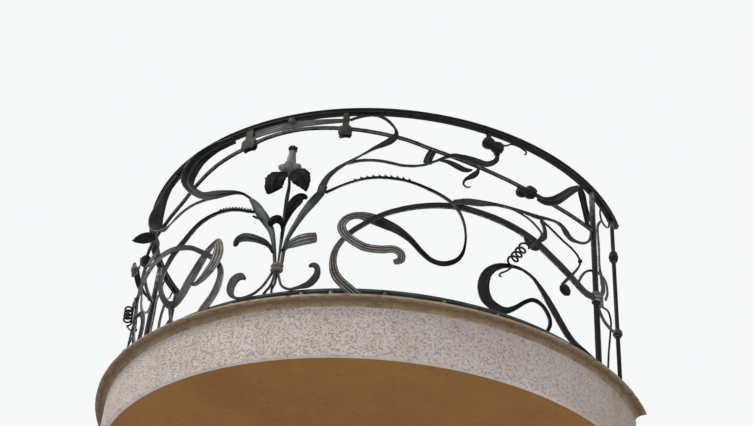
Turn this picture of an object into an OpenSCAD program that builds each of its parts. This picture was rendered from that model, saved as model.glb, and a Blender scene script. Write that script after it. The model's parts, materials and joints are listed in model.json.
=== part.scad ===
// Half-round balcony: a rendered slab with a moulded coping and a forged railing.
// Millimetres, +Z up, +Y into the wall. The origin is on the slab's wall face.
// Curved ironwork is drawn flat, full size, and then bent round the railing's circle:
// each row of a drawing is [along the rail, height, width of the face, offset outwards, lean].

/* [Slab] */
// Radius of the rendered fascia
fascia_r = 1215; // [900:5:1600]
// Height from the soffit to the top of the coping
slab_h = 245; // [180:5:400]
// Height of the coping's top above the origin
deck_z = 120; // [90:5:170]
// Thickness of the render on the fascia
fascia_t = 20; // [10:1:40]
// Thickness of the coat under the slab
soffit_t = 15; // [8:1:40]
// Width of the drip recess between the fascia and the soffit coat
drip_h = 4; // [2:1:8]

/* [Coping and floor] */
// How far the coping's nose stands out over the fascia
coping_overhang = 47; // [30:1:70]
// Height of the coping
coping_h = 32; // [24:1:50]
// Height of the coping's square nose
nose_h = 13; // [8:1:18]
// Width of the coping inside the fascia line
coping_in = 110; // [80:5:160]
// Depth of the floor below the top of the coping
floor_drop = 12; // [4:1:16]

/* [Rails] */
// Distance of the railing's centre line inside the fascia's face
rail_inset = 45; // [30:1:80]
// Height of the handrail's top above the coping
rail_h = 1000; // [850:5:1150]
// Width of the handrail
handrail_w = 44; // [32:1:60]
// Height of the handrail's moulded bar
handrail_t = 20; // [12:1:26]
// Side of the square upper rail
sub_rail_w = 14; // [10:1:20]
// Width of the bottom rail
bottom_rail_w = 22; // [16:1:36]
// Height of the bottom rail
bottom_rail_t = 12; // [8:1:18]
// Height of the bottom rail's underside above the coping
bottom_gap = 62; // [40:1:80]
// Diameter of the feet under the bottom rail
foot_d = 22; // [10:1:28]

/* [Posts] */
// Bearing of the newels from the middle of the front, in degrees
newel_a = 75; // [70:0.1:78]
// Diameter of the newels
newel_d = 26; // [18:1:36]
// Height of the newels' collars above the coping
collar_z = 412; // [360:4:450]
// Bearing of the wall posts from the middle of the front, in degrees
wall_post_a = 87; // [85:0.1:87.5]
// Diameter of the wall posts
wall_post_d = 19; // [14:1:28]

/* [Forged bars] */
// Thickness of the vine bars
vine_t = 14; // [10:1:18]
// Thickness of the ribbons where they are narrow
ribbon_t = 9; // [7:1:12]
// Thickness of broad straps and leaves
leaf_t = 6; // [4:1:9]
// Diameter of the tendril wire
wire_d = 7; // [5:1:9]

/* [Hidden] */
$fn = 96;

iron = "#2b3130";
old_iron = "#4a4a42";
coping_r = fascia_r + coping_overhang;
rail_r = fascia_r - rail_inset;
core_r = fascia_r - fascia_t;
soffit_z = deck_z - slab_h;
coping_z = deck_z - coping_h;
floor_z = deck_z - floor_drop;
bottom_top = bottom_gap + bottom_rail_t;
handrail_under = rail_h - handrail_t;

// The full-size drawing: a quarter turn of the railing, its bottom rail's top and its height
drawing_half = 1845;
rail_top = 74;
drawing_h = 1000;

// A point of the drawing, bent round the railing
function along(s) = 90 * s / drawing_half;
function lift(z) = z < rail_top ? max(z, 0) * bottom_top / rail_top
    : bottom_top + (z - rail_top) * (rail_h - bottom_top) / (drawing_h - rail_top);
function bent(s, z, off) = let (a = along(s), r = rail_r + off)
    [r * sin(a), -r * cos(a), deck_z + lift(z)];

// A smooth curve through the rows, with n steps between two rows
function between(a, b, c, d, t) = 0.5 * ((2 * b) + (c - a) * t
    + (2 * a - 5 * b + 4 * c - d) * t * t + (3 * b - a - 3 * c + d) * t * t * t);
function row(p) = [p[0], p[1], p[2], len(p) > 3 ? p[3] : 0, len(p) > 4 ? p[4] : 0];
function smooth(rows, n) = let (q = [for (p = rows) row(p)], e = len(q) - 1)
    [for (i = [0:e - 1], k = [0:n - 1])
        between(q[max(i - 1, 0)], q[i], q[i + 1], q[min(i + 2, e)], k / n), q[e]];
function unit(v) = v / max(norm(v), 0.001);
function heading(c, i) = let (a = c[max(i - 1, 0)], b = c[min(i + 1, len(c) - 1)])
    unit([b[0] - a[0], b[1] - a[1]]);
function moved(rows, s, z) = [for (p = rows) row(p) + [s, z, 0, 0, 0]];

// Sections, as [share of the width, share of the thickness]
strap_section = [[-0.5, 0], [-0.36, -0.5], [0.36, -0.5], [0.5, 0], [0.36, 0.5], [-0.36, 0.5]];
bar_section = [for (i = [0:7]) [cos(45 * i + 22.5) * 0.541, sin(45 * i + 22.5) * 0.541]];
square_section = [[-0.5, -0.5], [0.5, -0.5], [0.5, 0.5], [-0.5, 0.5]];
reeded_section = [[-0.5, 0], [-0.4, -0.5], [0.4, -0.5], [0.5, 0], [0.36, 0.6], [0.18, 0.05],
    [0, 0.6], [-0.18, 0.05], [-0.36, 0.6]];

// Broad stretches are drawn down thinner than narrow ones
function gauge(w, t) = max(leaf_t, t - 0.12 * max(0, w - t));

// Rings of equal point counts, closed by a face at each end
module skin(rings) {
    m = len(rings[0]);
    e = len(rings) - 1;
    polyhedron(
        points = [for (r = rings) for (p = r) p],
        faces = concat(
            [[for (j = [0:m - 1]) j]],
            [for (i = [0:e - 1], j = [0:m - 1], half = [0, 1]) let (k = (j + 1) % m, a = i * m)
                half == 0 ? [a + j, a + m + j, a + m + k] : [a + j, a + m + k, a + k]],
            [[for (j = [m - 1:-1:0]) e * m + j]]),
        convexity = 10);
}

// A forged bar, swept along its drawn rows
module forged(rows, t, n = 2, section = strap_section) {
    c = smooth(rows, n);
    skin([for (i = [0:len(c) - 1]) let (h = heading(c, i), g = gauge(c[i][2], t), lean = c[i][4])
        [for (p = section) let (u = p[0] * c[i][2], v = p[1] * g,
            across = u * cos(lean) - v * sin(lean), out = u * sin(lean) + v * cos(lean))
            bent(c[i][0] - h[1] * across, c[i][1] + h[0] * across, c[i][3] + out)]]);
}

// Places its children at a bearing of the railing, z above the coping
module at(a, z = 0, off = 0) rotate([0, 0, a]) translate([0, -rail_r - off, deck_z + z]) children();

// Places its children at a point of the drawing
module drawn(s, z, off = 0) at(along(s), lift(z), off) children();

// Sweeps a profile of radius and height round the front, from wall to wall
module round_front() rotate([0, 0, 180]) rotate_extrude(angle = 180, $fn = 180) children();

// A half disc against the wall
module half_disc(r, z0, z1) translate([0, 0, z0]) rotate([0, 0, 180])
    rotate_extrude(angle = 180, $fn = 180) square([r, z1 - z0]);

module mirrored() mirror([1, 0, 0]) children();

// Slab

module slab_core() color("#b9b2a6") half_disc(core_r, soffit_z + soffit_t, coping_z);

module fascia_band() color("#d8c9bd") round_front()
    translate([core_r, soffit_z]) square([fascia_t, slab_h - coping_h]);

module soffit_coat() color("#9a7440")
    half_disc(core_r, soffit_z + drip_h, soffit_z + soffit_t);

// The coping: a worn nose over a cove
nose_edge = 4;
cove_lip = 8;
cove_r = coping_h - nose_h;
cove_reach = coping_overhang - cove_lip;
function cove(n) = [for (i = [0:n]) let (a = 90 * i / n)
    [coping_r - cove_lip - cove_reach * sin(a), deck_z - nose_h - cove_r * (1 - cos(a))]];

module coping_ring() color("#b08b5c") round_front() polygon(concat(
    [[fascia_r - coping_in, deck_z], [coping_r - nose_edge, deck_z], [coping_r, deck_z - nose_edge],
        [coping_r, deck_z - nose_h + nose_edge / 2], [coping_r - nose_edge / 2, deck_z - nose_h]],
    cove(6),
    [[fascia_r - coping_in, coping_z]]));

module floor_paving() color("#a79f93") half_disc(fascia_r - coping_in, coping_z, floor_z);

// Rails

crown = 5;
waist = 10;
step_in = 6;
module handrail() color(iron) round_front() translate([rail_r, deck_z + rail_h]) polygon([
    [-handrail_w / 2, -crown], [-handrail_w / 2 + crown, -1], [-handrail_w / 5, 0],
    [handrail_w / 5, 0], [handrail_w / 2 - crown, -1], [handrail_w / 2, -crown],
    [handrail_w / 2 - 1, -waist], [handrail_w / 2 - step_in, -waist - 1],
    [handrail_w / 2 - step_in, -handrail_t], [-handrail_w / 2 + step_in, -handrail_t],
    [-handrail_w / 2 + step_in, -waist - 1], [-handrail_w / 2 + 1, -waist]]);

// The upper rail dips from the crest to both ends, sooner on the left
rail_end = newel_a * drawing_half / 90 - newel_d / 2;
upper_line = [[-rail_end, 762], [-1400, 750], [-1240, 740], [-1080, 731], [-920, 725],
    [-780, 727], [-680, 744], [-600, 765], [-530, 800], [-420, 849], [-330, 874],
    [-220, 892], [-100, 914], [40, 920], [170, 910], [300, 892], [430, 867],
    [530, 845], [640, 812], [760, 788], [880, 769], [1030, 751],
    [1200, 740], [1360, 746], [rail_end, 762]];
upper_curve = [for (p = smooth(upper_line, 2)) [p[0], p[1]]];
function rail_at(s) = lookup(s, upper_curve);
module upper_rail() color(iron)
    forged([for (p = upper_line) [p[0], p[1], sub_rail_w]], sub_rail_w, 2, square_section);

// The bottom rail is pierced by the posts
module bottom_rail() color(iron) difference() {
    round_front() translate([rail_r - bottom_rail_w / 2, deck_z + bottom_gap])
        square([bottom_rail_w, bottom_rail_t]);
    for (side = [-1, 1]) {
        at(side * newel_a) cylinder(d = newel_d, h = rail_h);
        at(side * wall_post_a) cylinder(d = wall_post_d, h = rail_h);
    }
}

foot_bearings = [7.5, 13.3, 23.6, 35, 46, 57, 68];
module rail_feet() color(iron) for (a = foot_bearings, side = [-1, 1])
    at(side * a) cylinder(d = foot_d, h = bottom_gap);

// Posts

post_top = handrail_under;
knot_h = 36;
post_bud_h = 64;
module wall_post() {
    at(wall_post_a) cylinder(d = wall_post_d, h = post_top);
    at(wall_post_a, lift(368) - knot_h / 2) rotate_extrude($fn = 32) polygon([[0, 0],
        [wall_post_d * 0.8, 0], [wall_post_d * 1.15, knot_h * 0.3], [wall_post_d * 1.15, knot_h * 0.7],
        [wall_post_d * 0.8, knot_h], [0, knot_h]]);
    at(wall_post_a, lift(780) - post_bud_h / 2) rotate_extrude($fn = 32) polygon([[0, 0],
        [wall_post_d * 0.6, 0], [wall_post_d, post_bud_h * 0.2], [wall_post_d * 1.2, post_bud_h * 0.5],
        [wall_post_d * 0.9, post_bud_h * 0.85], [wall_post_d * 0.6, post_bud_h], [0, post_bud_h]]);
}
module right_wall_post() color(iron) wall_post();
module left_wall_post() color(iron) mirrored() wall_post();

collar_ring = 14;
collar_pitch = 18;
collar_wall = 7;
second_bar = 32;
newel_foot = 60;
module newel() {
    at(newel_a) cylinder(d = newel_d, h = post_top);
    at(newel_a) cylinder(d1 = newel_d + 16, d2 = newel_d, h = newel_foot);
    for (i = [-1:1]) at(newel_a, collar_z + i * collar_pitch - collar_ring / 2) {
        cylinder(d = newel_d + 2 * collar_wall, h = collar_ring);
        translate([second_bar, 0, 0]) cylinder(d = newel_d + collar_wall, h = collar_ring);
        translate([0, -newel_d / 2, 0]) cube([second_bar, newel_d, collar_ring]);
    }
    at(newel_a, collar_z - collar_pitch) cylinder(d = newel_d + collar_wall, h = 2 * collar_pitch);
    at(newel_a, collar_z - collar_pitch) translate([second_bar, 0, 0])
        cylinder(d = newel_d - 2, h = 2 * collar_pitch);
}
module right_newel() color(iron) newel();
module left_newel() color(iron) mirrored() newel();

// Shoots bound to the newel by its collar
newel_s = newel_a * drawing_half / 90;
post_s = wall_post_a * drawing_half / 90;
oval_rows = [[1648, 980, 7], [1622, 938, 7], [1628, 896, 7], [1668, 884, 7], [1720, 908, 7],
    [1752, 980, 7]];
spoon_rows = [[1626, 882, 9], [1584, 820, 13], [1587, 715, 10], [1584, 640, 9], [1587, 590, 14],
    [1602, 560, 36], [1612, 526, 46], [1610, 490, 34], [1580, 440, 14]];
hoop_rows = [[1396, 400, 11, -10.6], [1412, 428, 11, -11], [1440, 474, 11, -14],
    [1490, 528, 11, -22], [1544, 566, 11, -22],
    [1600, 584, 11, -14], [1648, 564, 12, -2], [1662, 512, 12], [1634, 456, 12]];
low_shoot_rows = [[1604, 400, 10], [1662, 412, 10], [1690, 374, 10], [1672, 300, 10],
    [1642, 190, 9], [1622, rail_top, 12]];
strut_rows = [[newel_s + 14, 378, 16], [1600, 336, 20], [1690, 334, 14], [post_s - 18, 364, 12]];
module newel_shoots() for (rows = [oval_rows, spoon_rows, hoop_rows, low_shoot_rows, strut_rows])
    forged(rows, ribbon_t);
module right_newel_shoots() color(iron) newel_shoots();
module left_newel_shoots() color(iron) mirrored() newel_shoots();

// Iris

iris_s = 36;
flower_z = 655;
flower_off = 6;
module iris_flower() color(old_iron) drawn(iris_s, flower_z, flower_off)
    rotate_extrude($fn = 40) polygon([[0, 0], [7, 0], [12, 14], [32, 26], [50, 40], [53, 50], [46, 60],
        [24, 66], [17, 74], [15, 96], [17, 130], [16, 136], [20, 142], [21, 156], [12, 162], [0, 164]]);

fall_rows = [[[24, 704, 22, 59], [17, 676, 34, 62], [8, 645, 58, 61], [2, 611, 84, 60],
        [0, 583, 78, 58],
        [-8, 557, 42, 52], [-14, 541, 8, 48]],
    [[74, 704, 20, 41], [77, 672, 24, 52], [94, 632, 40, 58], [114, 590, 54, 60], [124, 560, 50, 56], [133, 535, 28, 50],
        [137, 515, 8, 46]]];
module iris_falls() color(old_iron) for (rows = fall_rows) forged(rows, leaf_t);

lance_rows = [[44, 398, 9, 7.8], [54, 436, 20, 13], [65, 468, 42, 18], [80, 498, 58, 20],
    [95, 521, 58, 20], [104, 541, 36, 19], [108, 556, 8, 18]];
small_leaf_rows = [[38, 340, 8, 8], [37, 388, 9, 10], [30, 424, 14, 13], [16, 446, 22, 16],
    [-2, 448, 30, 18], [-14, 438, 22, 17], [-12, 418, 8, 14]];
module iris_stem() color(iron) {
    forged([[36, 214, 10], [36, 287, 12], [36, 340, 14], [37, 400, 15], [36, 480, 14], [37, 550, 12, 2],
        [40, 590, 14, 4], [40, 625, 12, 6], [iris_s, flower_z, 12, flower_off]], ribbon_t);
    forged(lance_rows, leaf_t);
    forged(small_leaf_rows, leaf_t);
}

module iris_leaves() color(iron) {
    forged([[14, 266, 12, 16], [-6, 302, 18, 17], [-34, 327, 28, 20], [-70, 348, 34, 22],
        [-108, 363, 40, 25], [-140, 370, 44, 24], [-164, 364, 38, 20], [-172, 344, 34, 12, 20]], ribbon_t);
    forged([[54, 262, 12, 16.8], [72, 284, 28, 19], [100, 297, 48, 20], [134, 307, 58, 22],
        [168, 311, 56, 22], [196, 315, 48, 20]], ribbon_t, 2, reeded_section);
}

roll_h = 18;
roll_r = 31;
module iris_collar() color(old_iron) for (k = [0, 1]) drawn(iris_s, 176 + k * (roll_h + 1))
    rotate_extrude($fn = 40) polygon([[0, 0], [roll_r - 4, 0], [roll_r, 5], [roll_r, roll_h - 5],
        [roll_r - 4, roll_h], [0, roll_h]]);

foot_rows = [
    [[18, 176, 10, 6], [8, 146, 9, 11], [-14, 104, 9, 17], [-50, 78, 9, 17], [-98, 70, 9, 17],
        [-136, 80, 10, 17], [-156, 106, 20, 15], [-160, 138, 38, 12], [-149, 166, 42, 10],
        [-130, 178, 26, 8], [-106, 170, 9, 6]],
    [[44, 176, 10, 6], [54, 140, 10, 9], [72, 98, 10, 16], [106, 77, 9, 17], [145, 80, 12, 17],
        [182, 99, 21, 15], [204, 126, 22, 12], [210, 162, 14, 8], [200, 186, 12, 7], [185, 193, 11, 6],
        [171, 188, 9, 5]],
    [[32, 176, 9, 10], [28, 138, 9, 10], [18, 108, 9, 8], [2, 92, 9, 5], [-14, rail_top, 10, 0]],
    [[34, 176, 8, -6], [31, 134, 8, -6], [25, 112, 8, -4], [22, 96, 8, -2], [24, rail_top, 10, -2]]];
module iris_feet() color(iron) for (rows = foot_rows) forged(rows, ribbon_t);

// Main stems, which open as sheaths

module right_stem() color(iron) forged([[54, 213, 14, 4], [55, 270, 16, 4], [62, 324, 19, 4],
    [78, 369, 23, 4], [98, 412, 29, 4], [120, 455, 35, 4], [146, 496, 43, 4], [167, 527, 44, 4],
    [186, 556, 38, 3]], vine_t + 2, 2, bar_section);
lip_rows = [[-58, 450, 7, 14], [-84, 463, 11, 15], [-108, 480, 8, 14]];
module left_stem() color(iron) {
    forged([[24, 213, 14, 4], [18, 252, 16, 4], [10, 296, 18, 4], [0, 342, 22, 4], [-14, 388, 28, 4],
        [-33, 424, 35, 4], [-54, 459, 42, 4], [-78, 494, 43, 4], [-100, 529, 38, 4], [-121, 560, 28, 3]],
        vine_t + 2, 2, bar_section);
    forged(lip_rows, leaf_t);
}

// Crest

right_clasp_s = 260;
left_clasp_s = -197;
strap_rows = [[-226, 964, 24], [-110, 964, 25], [12, 962, 24], [133, 953, 21], [276, 944, 17]];
knob_z = 958;
knob_h = handrail_under - lift(knob_z);
module crest_strap() color(old_iron) {
    forged(strap_rows, leaf_t, 3, reeded_section);
    drawn(14, knob_z, leaf_t) rotate_extrude($fn = 32)
        polygon([[0, 0], [9, 0], [18, knob_h * 0.4], [18, knob_h * 0.7], [12, knob_h], [0, knob_h]]);
}

// A clasp: lobed plates on both faces of the upper rail, hung from the handrail round the strap
plate_t = 5;
plate_fit = 0.6;
strap_slot = 1.3 * leaf_t;
lobed = [[-0.5, -0.3], [-0.38, -0.5], [-0.1, -0.42], [0.1, -0.42], [0.38, -0.5], [0.5, -0.3],
    [0.5, 0.3], [0.38, 0.5], [0.1, 0.42], [-0.1, 0.42], [-0.38, 0.5], [-0.5, 0.3]];
module clasp(s, z, w, h, hanger_w) {
    face = sub_rail_w / 2 + plate_fit;
    top = handrail_under - lift(z);
    over = lift(rail_at(s)) - lift(z) + sub_rail_w * 0.7;
    for (side = [0, 180]) drawn(s, z) rotate([0, 0, side]) {
        translate([0, -face, 0]) rotate([90, 0, 0])
            linear_extrude(plate_t) polygon([for (p = lobed) [p[0] * w, p[1] * h]]);
        translate([-hanger_w / 2, -face - plate_t, 0]) cube([hanger_w, plate_t, top]);
        translate([-hanger_w / 2, -face - plate_t, over])
            cube([hanger_w, face + plate_t - strap_slot / 2, top - over]);
    }
}
module crest_clasps() color("#5b4a3a") {
    clasp(right_clasp_s, 880, 56, 54, 25);
    clasp(left_clasp_s, 902, 72, 60, 40);
}

right_crest_rows = [[186, 560, 36, 4], [190, 590, 34, 4], [208, 632, 27, 6], [240, 667, 20, 8],
    [276, 696, 14, 8], [320, 726, 8, 8], [356, 753, 8, 8], [394, 781, 16, 9], [428, 800, 28, 12],
    [456, 820, 34, 13], [476, 844, 28, 14], [481, 868, 17, 14], [473, 894, 10, 12], [452, 926, 12, 8],
    [426, 952, 13, 4], [390, 970, 11], [350, 969, 10], [306, 957, 11], [277, 944, 14]];
module right_crest() color(iron) forged(right_crest_rows, ribbon_t);

// The left crest turns on edge and ends, cut off square, under the handrail
left_crest_rows = [[-120, 562, 20, 2], [-146, 590, 11, 4], [-184, 621, 10, 5], [-226, 644, 13, 7],
    [-276, 661, 20, 9], [-330, 673, 31, 12, 15], [-384, 688, 39, 15, 30], [-436, 713, 45, 19, 45],
    [-484, 752, 52, 27, 60], [-520, 799, 60, 37, 72], [-538, 850, 68, 33, 80], [-532, 905, 70, 24, 85],
    [-506, 942, 68, 18, 85], [-460, 958, 60, 14, 80], [-400, 967, 50, 10, 75],
    [-345, 968, 42, 6, 65], [-290, 968, 36, 2, 60]];
module left_crest() color(iron) forged(left_crest_rows, ribbon_t);

// Wave ribbons: the right one ends in a leaf and a bud stem

bud_stem_rows = [[904, 818, 25], [918, 844, 23], [920, 864, 22]];
leaf_under_rows = [[672, 757, 8, 3], [706, 758, 21, 4], [740, 748, 30, 4], [772, 737, 31, 4],
    [796, 737, 22, 4], [818, 746, 8, 4]];
curl_rows = [[846, 767, 8, 4], [840, 740, 20, 4], [820, 714, 27, 4], [788, 684, 13, 4], [780, 658, 9, 4],
    [796, 646, 7, 4], [813, 654, 5, 4]];
hook_rows = [[950, 940, 6], [982, 960, 6], [1030, 966, 6], [1074, 957, 6], [1083, 943, 5],
    [1071, 938, 5]];
right_wave_rows = [[282, 704, 12], [340, 720, 12], [405, 722, 12], [465, 714, 12],
    [515, 705, 11], [565, 709, 10], [610, 723, 9], [650, 746, 9, 2], [690, 771, 13, 9],
    [728, 790, 21, 12], [766, 792, 31, 12], [806, 791, 36, 12], [846, 790, 38, 10], [880, 798, 30, 5]];
module right_wave() color(iron) {
    forged(concat(right_wave_rows, bud_stem_rows), ribbon_t);
    forged(leaf_under_rows, leaf_t);
    forged(curl_rows, leaf_t);
    forged(hook_rows, ribbon_t);
    forged([[642, 804, 34], [628, 770, 36], [620, 730, 38]], leaf_t);
}

// The left wave broadens, stands outwards and turns back under the handrail. A leaf points outwards
left_wave_rows = [[330, 650, 10, 2], [380, 668, 10], [440, 686, 10], [508, 697, 10], [576, 694, 10],
    [640, 686, 10], [700, 684, 11, 2], [756, 698, 16, 6], [800, 724, 34, 14, -15],
    [834, 768, 60, 20, -30], [852, 826, 78, 26, -40], [850, 884, 66, 28, -48], [824, 930, 46, 28, -55],
    [776, 956, 32, 26, -60], [700, 965, 26, 22, -60], [620, 968, 14, 18, -60]];
tongue = [[-16, 0], [16, 0], [27, 30], [26, 60], [14, 88], [0, 108], [-16, 84], [-25, 50]];
tongue_dip = 10;
tongue_turn = 20;
tongue_yaw = 26;
module left_wave() color(iron) mirrored() {
    forged(left_wave_rows, ribbon_t);
    forged(moved(curl_rows, 0, -48), leaf_t);
    forged([[600, 758, 30], [606, 730, 30], [610, 694, 32]], leaf_t);
    drawn(862, 724, sub_rail_w / 2) rotate([tongue_dip, 0, tongue_yaw]) rotate([0, tongue_turn, 180])
        linear_extrude(leaf_t, center = true) polygon(tongue);
}

// A bud hangs under the handrail like a melon

bud_z = 864;
bud_h = 84;
module bud() color(iron) {
    drawn(914, bud_z) rotate_extrude($fn = 40) polygon([[0, 0], [12, 0], [30, 10], [44, 30], [48, 50],
        [43, 68], [30, 80], [12, bud_h], [0, bud_h]]);
    drawn(914, bud_z) translate([0, 0, bud_h])
        cylinder(d = 22, h = handrail_under - lift(bud_z) - bud_h);
}

// Whiplash ribbons: a notched crest, an open loop, a reeded turn in front of the vine and a curled end

right_whip_rows = [[206, 548, 14, 8], [240, 570, 10, 4], [300, 602, 9], [380, 627, 10], [460, 633, 11],
    [550, 624, 11], [640, 596, 14], [700, 565, 15, 6], [745, 527, 15, 12],
    [782, 475, 11, 4], [798, 405, 9], [795, 345, 11], [782, 298, 17], [754, 262, 21],
    [708, 240, 24], [660, 246, 23], [618, 278, 24], [570, 330, 28], [516, 371, 40], [456, 406, 50, -9],
    [400, 430, 50, -11], [352, 438, 36, -6], [312, 418, 34, 6], [290, 380, 36, 12], [300, 340, 37, 12],
    [336, 304, 37, 10], [390, 275, 39, 4], [450, 270, 38], [505, 276, 35], [534, 258, 34],
    [536, 228, 32], [508, 214, 24]];
left_whip_rows = [[-106, 504, 14, 8], [-146, 521, 11, 4], [-200, 547, 11], [-260, 565, 13],
    [-320, 573, 17], [-380, 571, 24], [-440, 562, 33, -3], [-500, 542, 42, -8], [-556, 518, 48, -11],
    [-610, 496, 53, -11], [-650, 466, 54, -11], [-671, 426, 46, -8], [-674, 381, 36, -4], [-660, 332, 33],
    [-634, 286, 32], [-598, 238, 30, -2], [-556, 200, 34, -6], [-512, 192, 50, -9], [-480, 220, 64, -11],
    [-450, 262, 68, -11], [-414, 310, 66, -11], [-380, 358, 56, -11], [-350, 395, 42, -11],
    [-316, 416, 30, -8], [-282, 408, 27, 5], [-260, 376, 34, 12], [-256, 336, 46, 12],
    [-268, 302, 52, 12], [-292, 272, 52, 11], [-322, 246, 46, 9], [-356, 226, 36, 6],
    [-384, 212, 26, 3], [-404, 194, 16, 2]];
left_whip_legs = [[[-588, 214, 12], [-600, 150, 12], [-597, rail_top, 14]],
    [[-540, 182, 14], [-516, 116, 12], [-505, rail_top, 14]]];
module right_whiplash() color(iron) forged(right_whip_rows, ribbon_t, 2, reeded_section);
module left_whiplash() color(iron) {
    forged(left_whip_rows, ribbon_t, 2, reeded_section);
    for (rows = left_whip_legs) forged(rows, ribbon_t);
}

// Barbs filed along the crest of each whiplash ribbon
barb_w = 15;
barb_h = 12;
barb_t = 7;
module barbs(rows, first, pitch, count) {
    c = smooth(rows, 12);
    side = sign(rows[5][0]);
    for (i = [0:count - 1]) {
        s = side * (first + i * pitch);
        k = [for (j = [0:len(c) - 2]) if ((c[j][0] - s) * (c[j + 1][0] - s) <= 0) j][0];
        slope = atan2(c[k + 1][1] - c[k][1], c[k + 1][0] - c[k][0]) - (side < 0 ? 180 : 0);
        drawn(s, c[k][1], c[k][3]) rotate([90, 0, 0]) rotate(slope) translate([0, c[k][2] / 2 - 1])
            linear_extrude(barb_t, center = true)
                polygon([[-barb_w / 2, 0], [barb_w / 2, 0], [-side * barb_w / 2, barb_h]]);
    }
}

module right_barbs() color(iron) barbs(right_whip_rows, 330, 24.5, 10);
module left_barbs() color(iron) barbs(left_whip_rows, 140, 17, 11);

// Vine: reeded foot, tall arch and fall to the newel's collar

vine_top_rows = [[384, 396, 20], [460, 447, 20], [560, 490, 23], [660, 519, 24], [760, 535, 25],
    [860, 534, 25], [950, 527, 26], [1040, 514, 29], [1130, 492, 30], [1220, 457, 31], [1310, 426, 32],
    [1390, 400, 34], [1450, 390, 32], [newel_s - 20, 402, 26]];
right_vine_foot = [[400, 0, 40, 18], [386, 24, 40, 18], [352, 58, 38, 18], [312, 98, 34, 15],
    [284, 138, 31, 9], [269, 190, 28, 2], [268, 240, 25], [282, 286, 22], [320, 342, 20]];
left_vine_foot = [[318, 0, 41, 18], [308, 26, 41, 18], [290, 62, 41, 18], [265, 98, 37, 14],
    [247, 136, 34, 9], [238, 180, 30, 4], [238, 230, 25], [254, 278, 21], [300, 332, 21]];
knot_rows = [[1086, 500, 12, 10.4], [1102, 487, 34, 10], [1124, 476, 42, 11], [1148, 468, 34, 10],
    [1164, 462, 14, 10.4]];
module vine(foot) forged(concat(foot, vine_top_rows), vine_t);
module right_vine() color(iron) vine(right_vine_foot);
module left_vine() color(iron) mirrored() vine(left_vine_foot);

// Branch above the vine, its bud leaf, twig and drop

branch_rows = [[736, 552, 9, 4], [790, 566, 15], [850, 578, 19], [886, 591, 19],
    [940, 604, 13], [1040, 616, 13], [1110, 623, 18], [1150, 629, 21],
    [1206, 646, 12], [1256, 656, 12], [1290, 652, 26], [1318, 634, 42], [1348, 619, 30],
    [1390, 624, 14], [1450, 650, 12], [1498, 696, 11], [1518, 758, 10]];
twig_rows = [[1156, 618, 10, 6], [1216, 599, 7, 5], [1280, 573, 7, 7], [1334, 557, 7, 11],
    [1370, 540, 7, 14], [1390, 514, 10, 16], [1380, 481, 10, 16], [1346, 432, 12, 16],
    [1298, 372, 15, 14], [1266, 332, 13, 14]];
shoot_rows = [[1160, 618, 13, 4], [1178, 580, 11, 6], [1178, 534, 10, 10], [1150, 500, 10, 14]];
drop_r = 21;
drop_h = 56;
module branch() {
    forged(branch_rows, ribbon_t);
    forged(twig_rows, ribbon_t);
    forged(shoot_rows, ribbon_t);
    drawn(1390, 514, 16) sphere(d = 20, $fn = 20);
    drawn(1262, 330, 14) rotate([0, 122, 0]) rotate_extrude($fn = 32) polygon([[0, 0],
        [drop_r * 0.5, 2], [drop_r * 0.9, drop_h * 0.25], [drop_r, drop_h * 0.5],
        [drop_r * 0.8, drop_h * 0.8], [drop_r * 0.3, drop_h], [0, drop_h]]);
}
module right_branch() color(iron) branch();
module left_branch() color(iron) mirrored() branch();

// Tendril with a corkscrew, knotted in front of the vine

coil_turns = 4;
coil_steps = 8;
coil_sides = 5;
coil_r = 13;
coil_off = 6;
coil_from = [1062, 434];
coil_to = [1004, 326];
coil_axis = unit(coil_to - coil_from);
coil_side = [-coil_axis[1], coil_axis[0]];
coil_lead = atan2(norm(coil_to - coil_from), coil_turns * 360 * coil_r * PI / 180);
function on_coil(a) = let (k = coil_from + (coil_to - coil_from) * a / (360 * coil_turns))
    [k[0], k[1], coil_off];
function coil_ring(a, d) = [for (j = [coil_sides - 1:-1:0]) let (b = 360 * j / coil_sides,
    side = coil_side * ((coil_r + d / 2 * cos(b)) * cos(a) + d / 2 * sin(b) * sin(a) * sin(coil_lead))
        + coil_axis * d / 2 * sin(b) * cos(coil_lead),
    out = (coil_r + d / 2 * cos(b)) * sin(a) - d / 2 * sin(b) * cos(a) * sin(coil_lead),
    p = on_coil(a)) bent(p[0] + side[0], p[1] + side[1], p[2] + out)];
function coil_end(k) = [k[0] + coil_side[0] * coil_r, k[1] + coil_side[1] * coil_r, 7, coil_off];
tail_rows = [coil_end(coil_to), [1002, 304, 6, 10], [988, 284, 6, 8], [966, 266, 6, 6],
    [958, 244, 6, 5], [974, 242, 5, 5]];
lead_rows = [[962, 604, 6, 8.3], [1030, 602, 6, 6], [1092, 595, 6, 2], [1136, 574, 6, 2],
    [1157, 540, 6, 8], [1146, 506, 7, 15], [1122, 472, 7, 17], [1096, 446, 7, 12], coil_end(coil_from)];
module tendril() {
    forged(lead_rows, ribbon_t - 2);
    skin([for (i = [0:coil_turns * coil_steps]) coil_ring(360 * i / coil_steps, wire_d)]);
    forged(tail_rows, ribbon_t - 3);
    forged(knot_rows, ribbon_t);
}
module right_tendril() color(iron) tendril();
module left_tendril() color(iron) mirrored() tendril();

// Broad scroll that rests on the bottom rail

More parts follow.
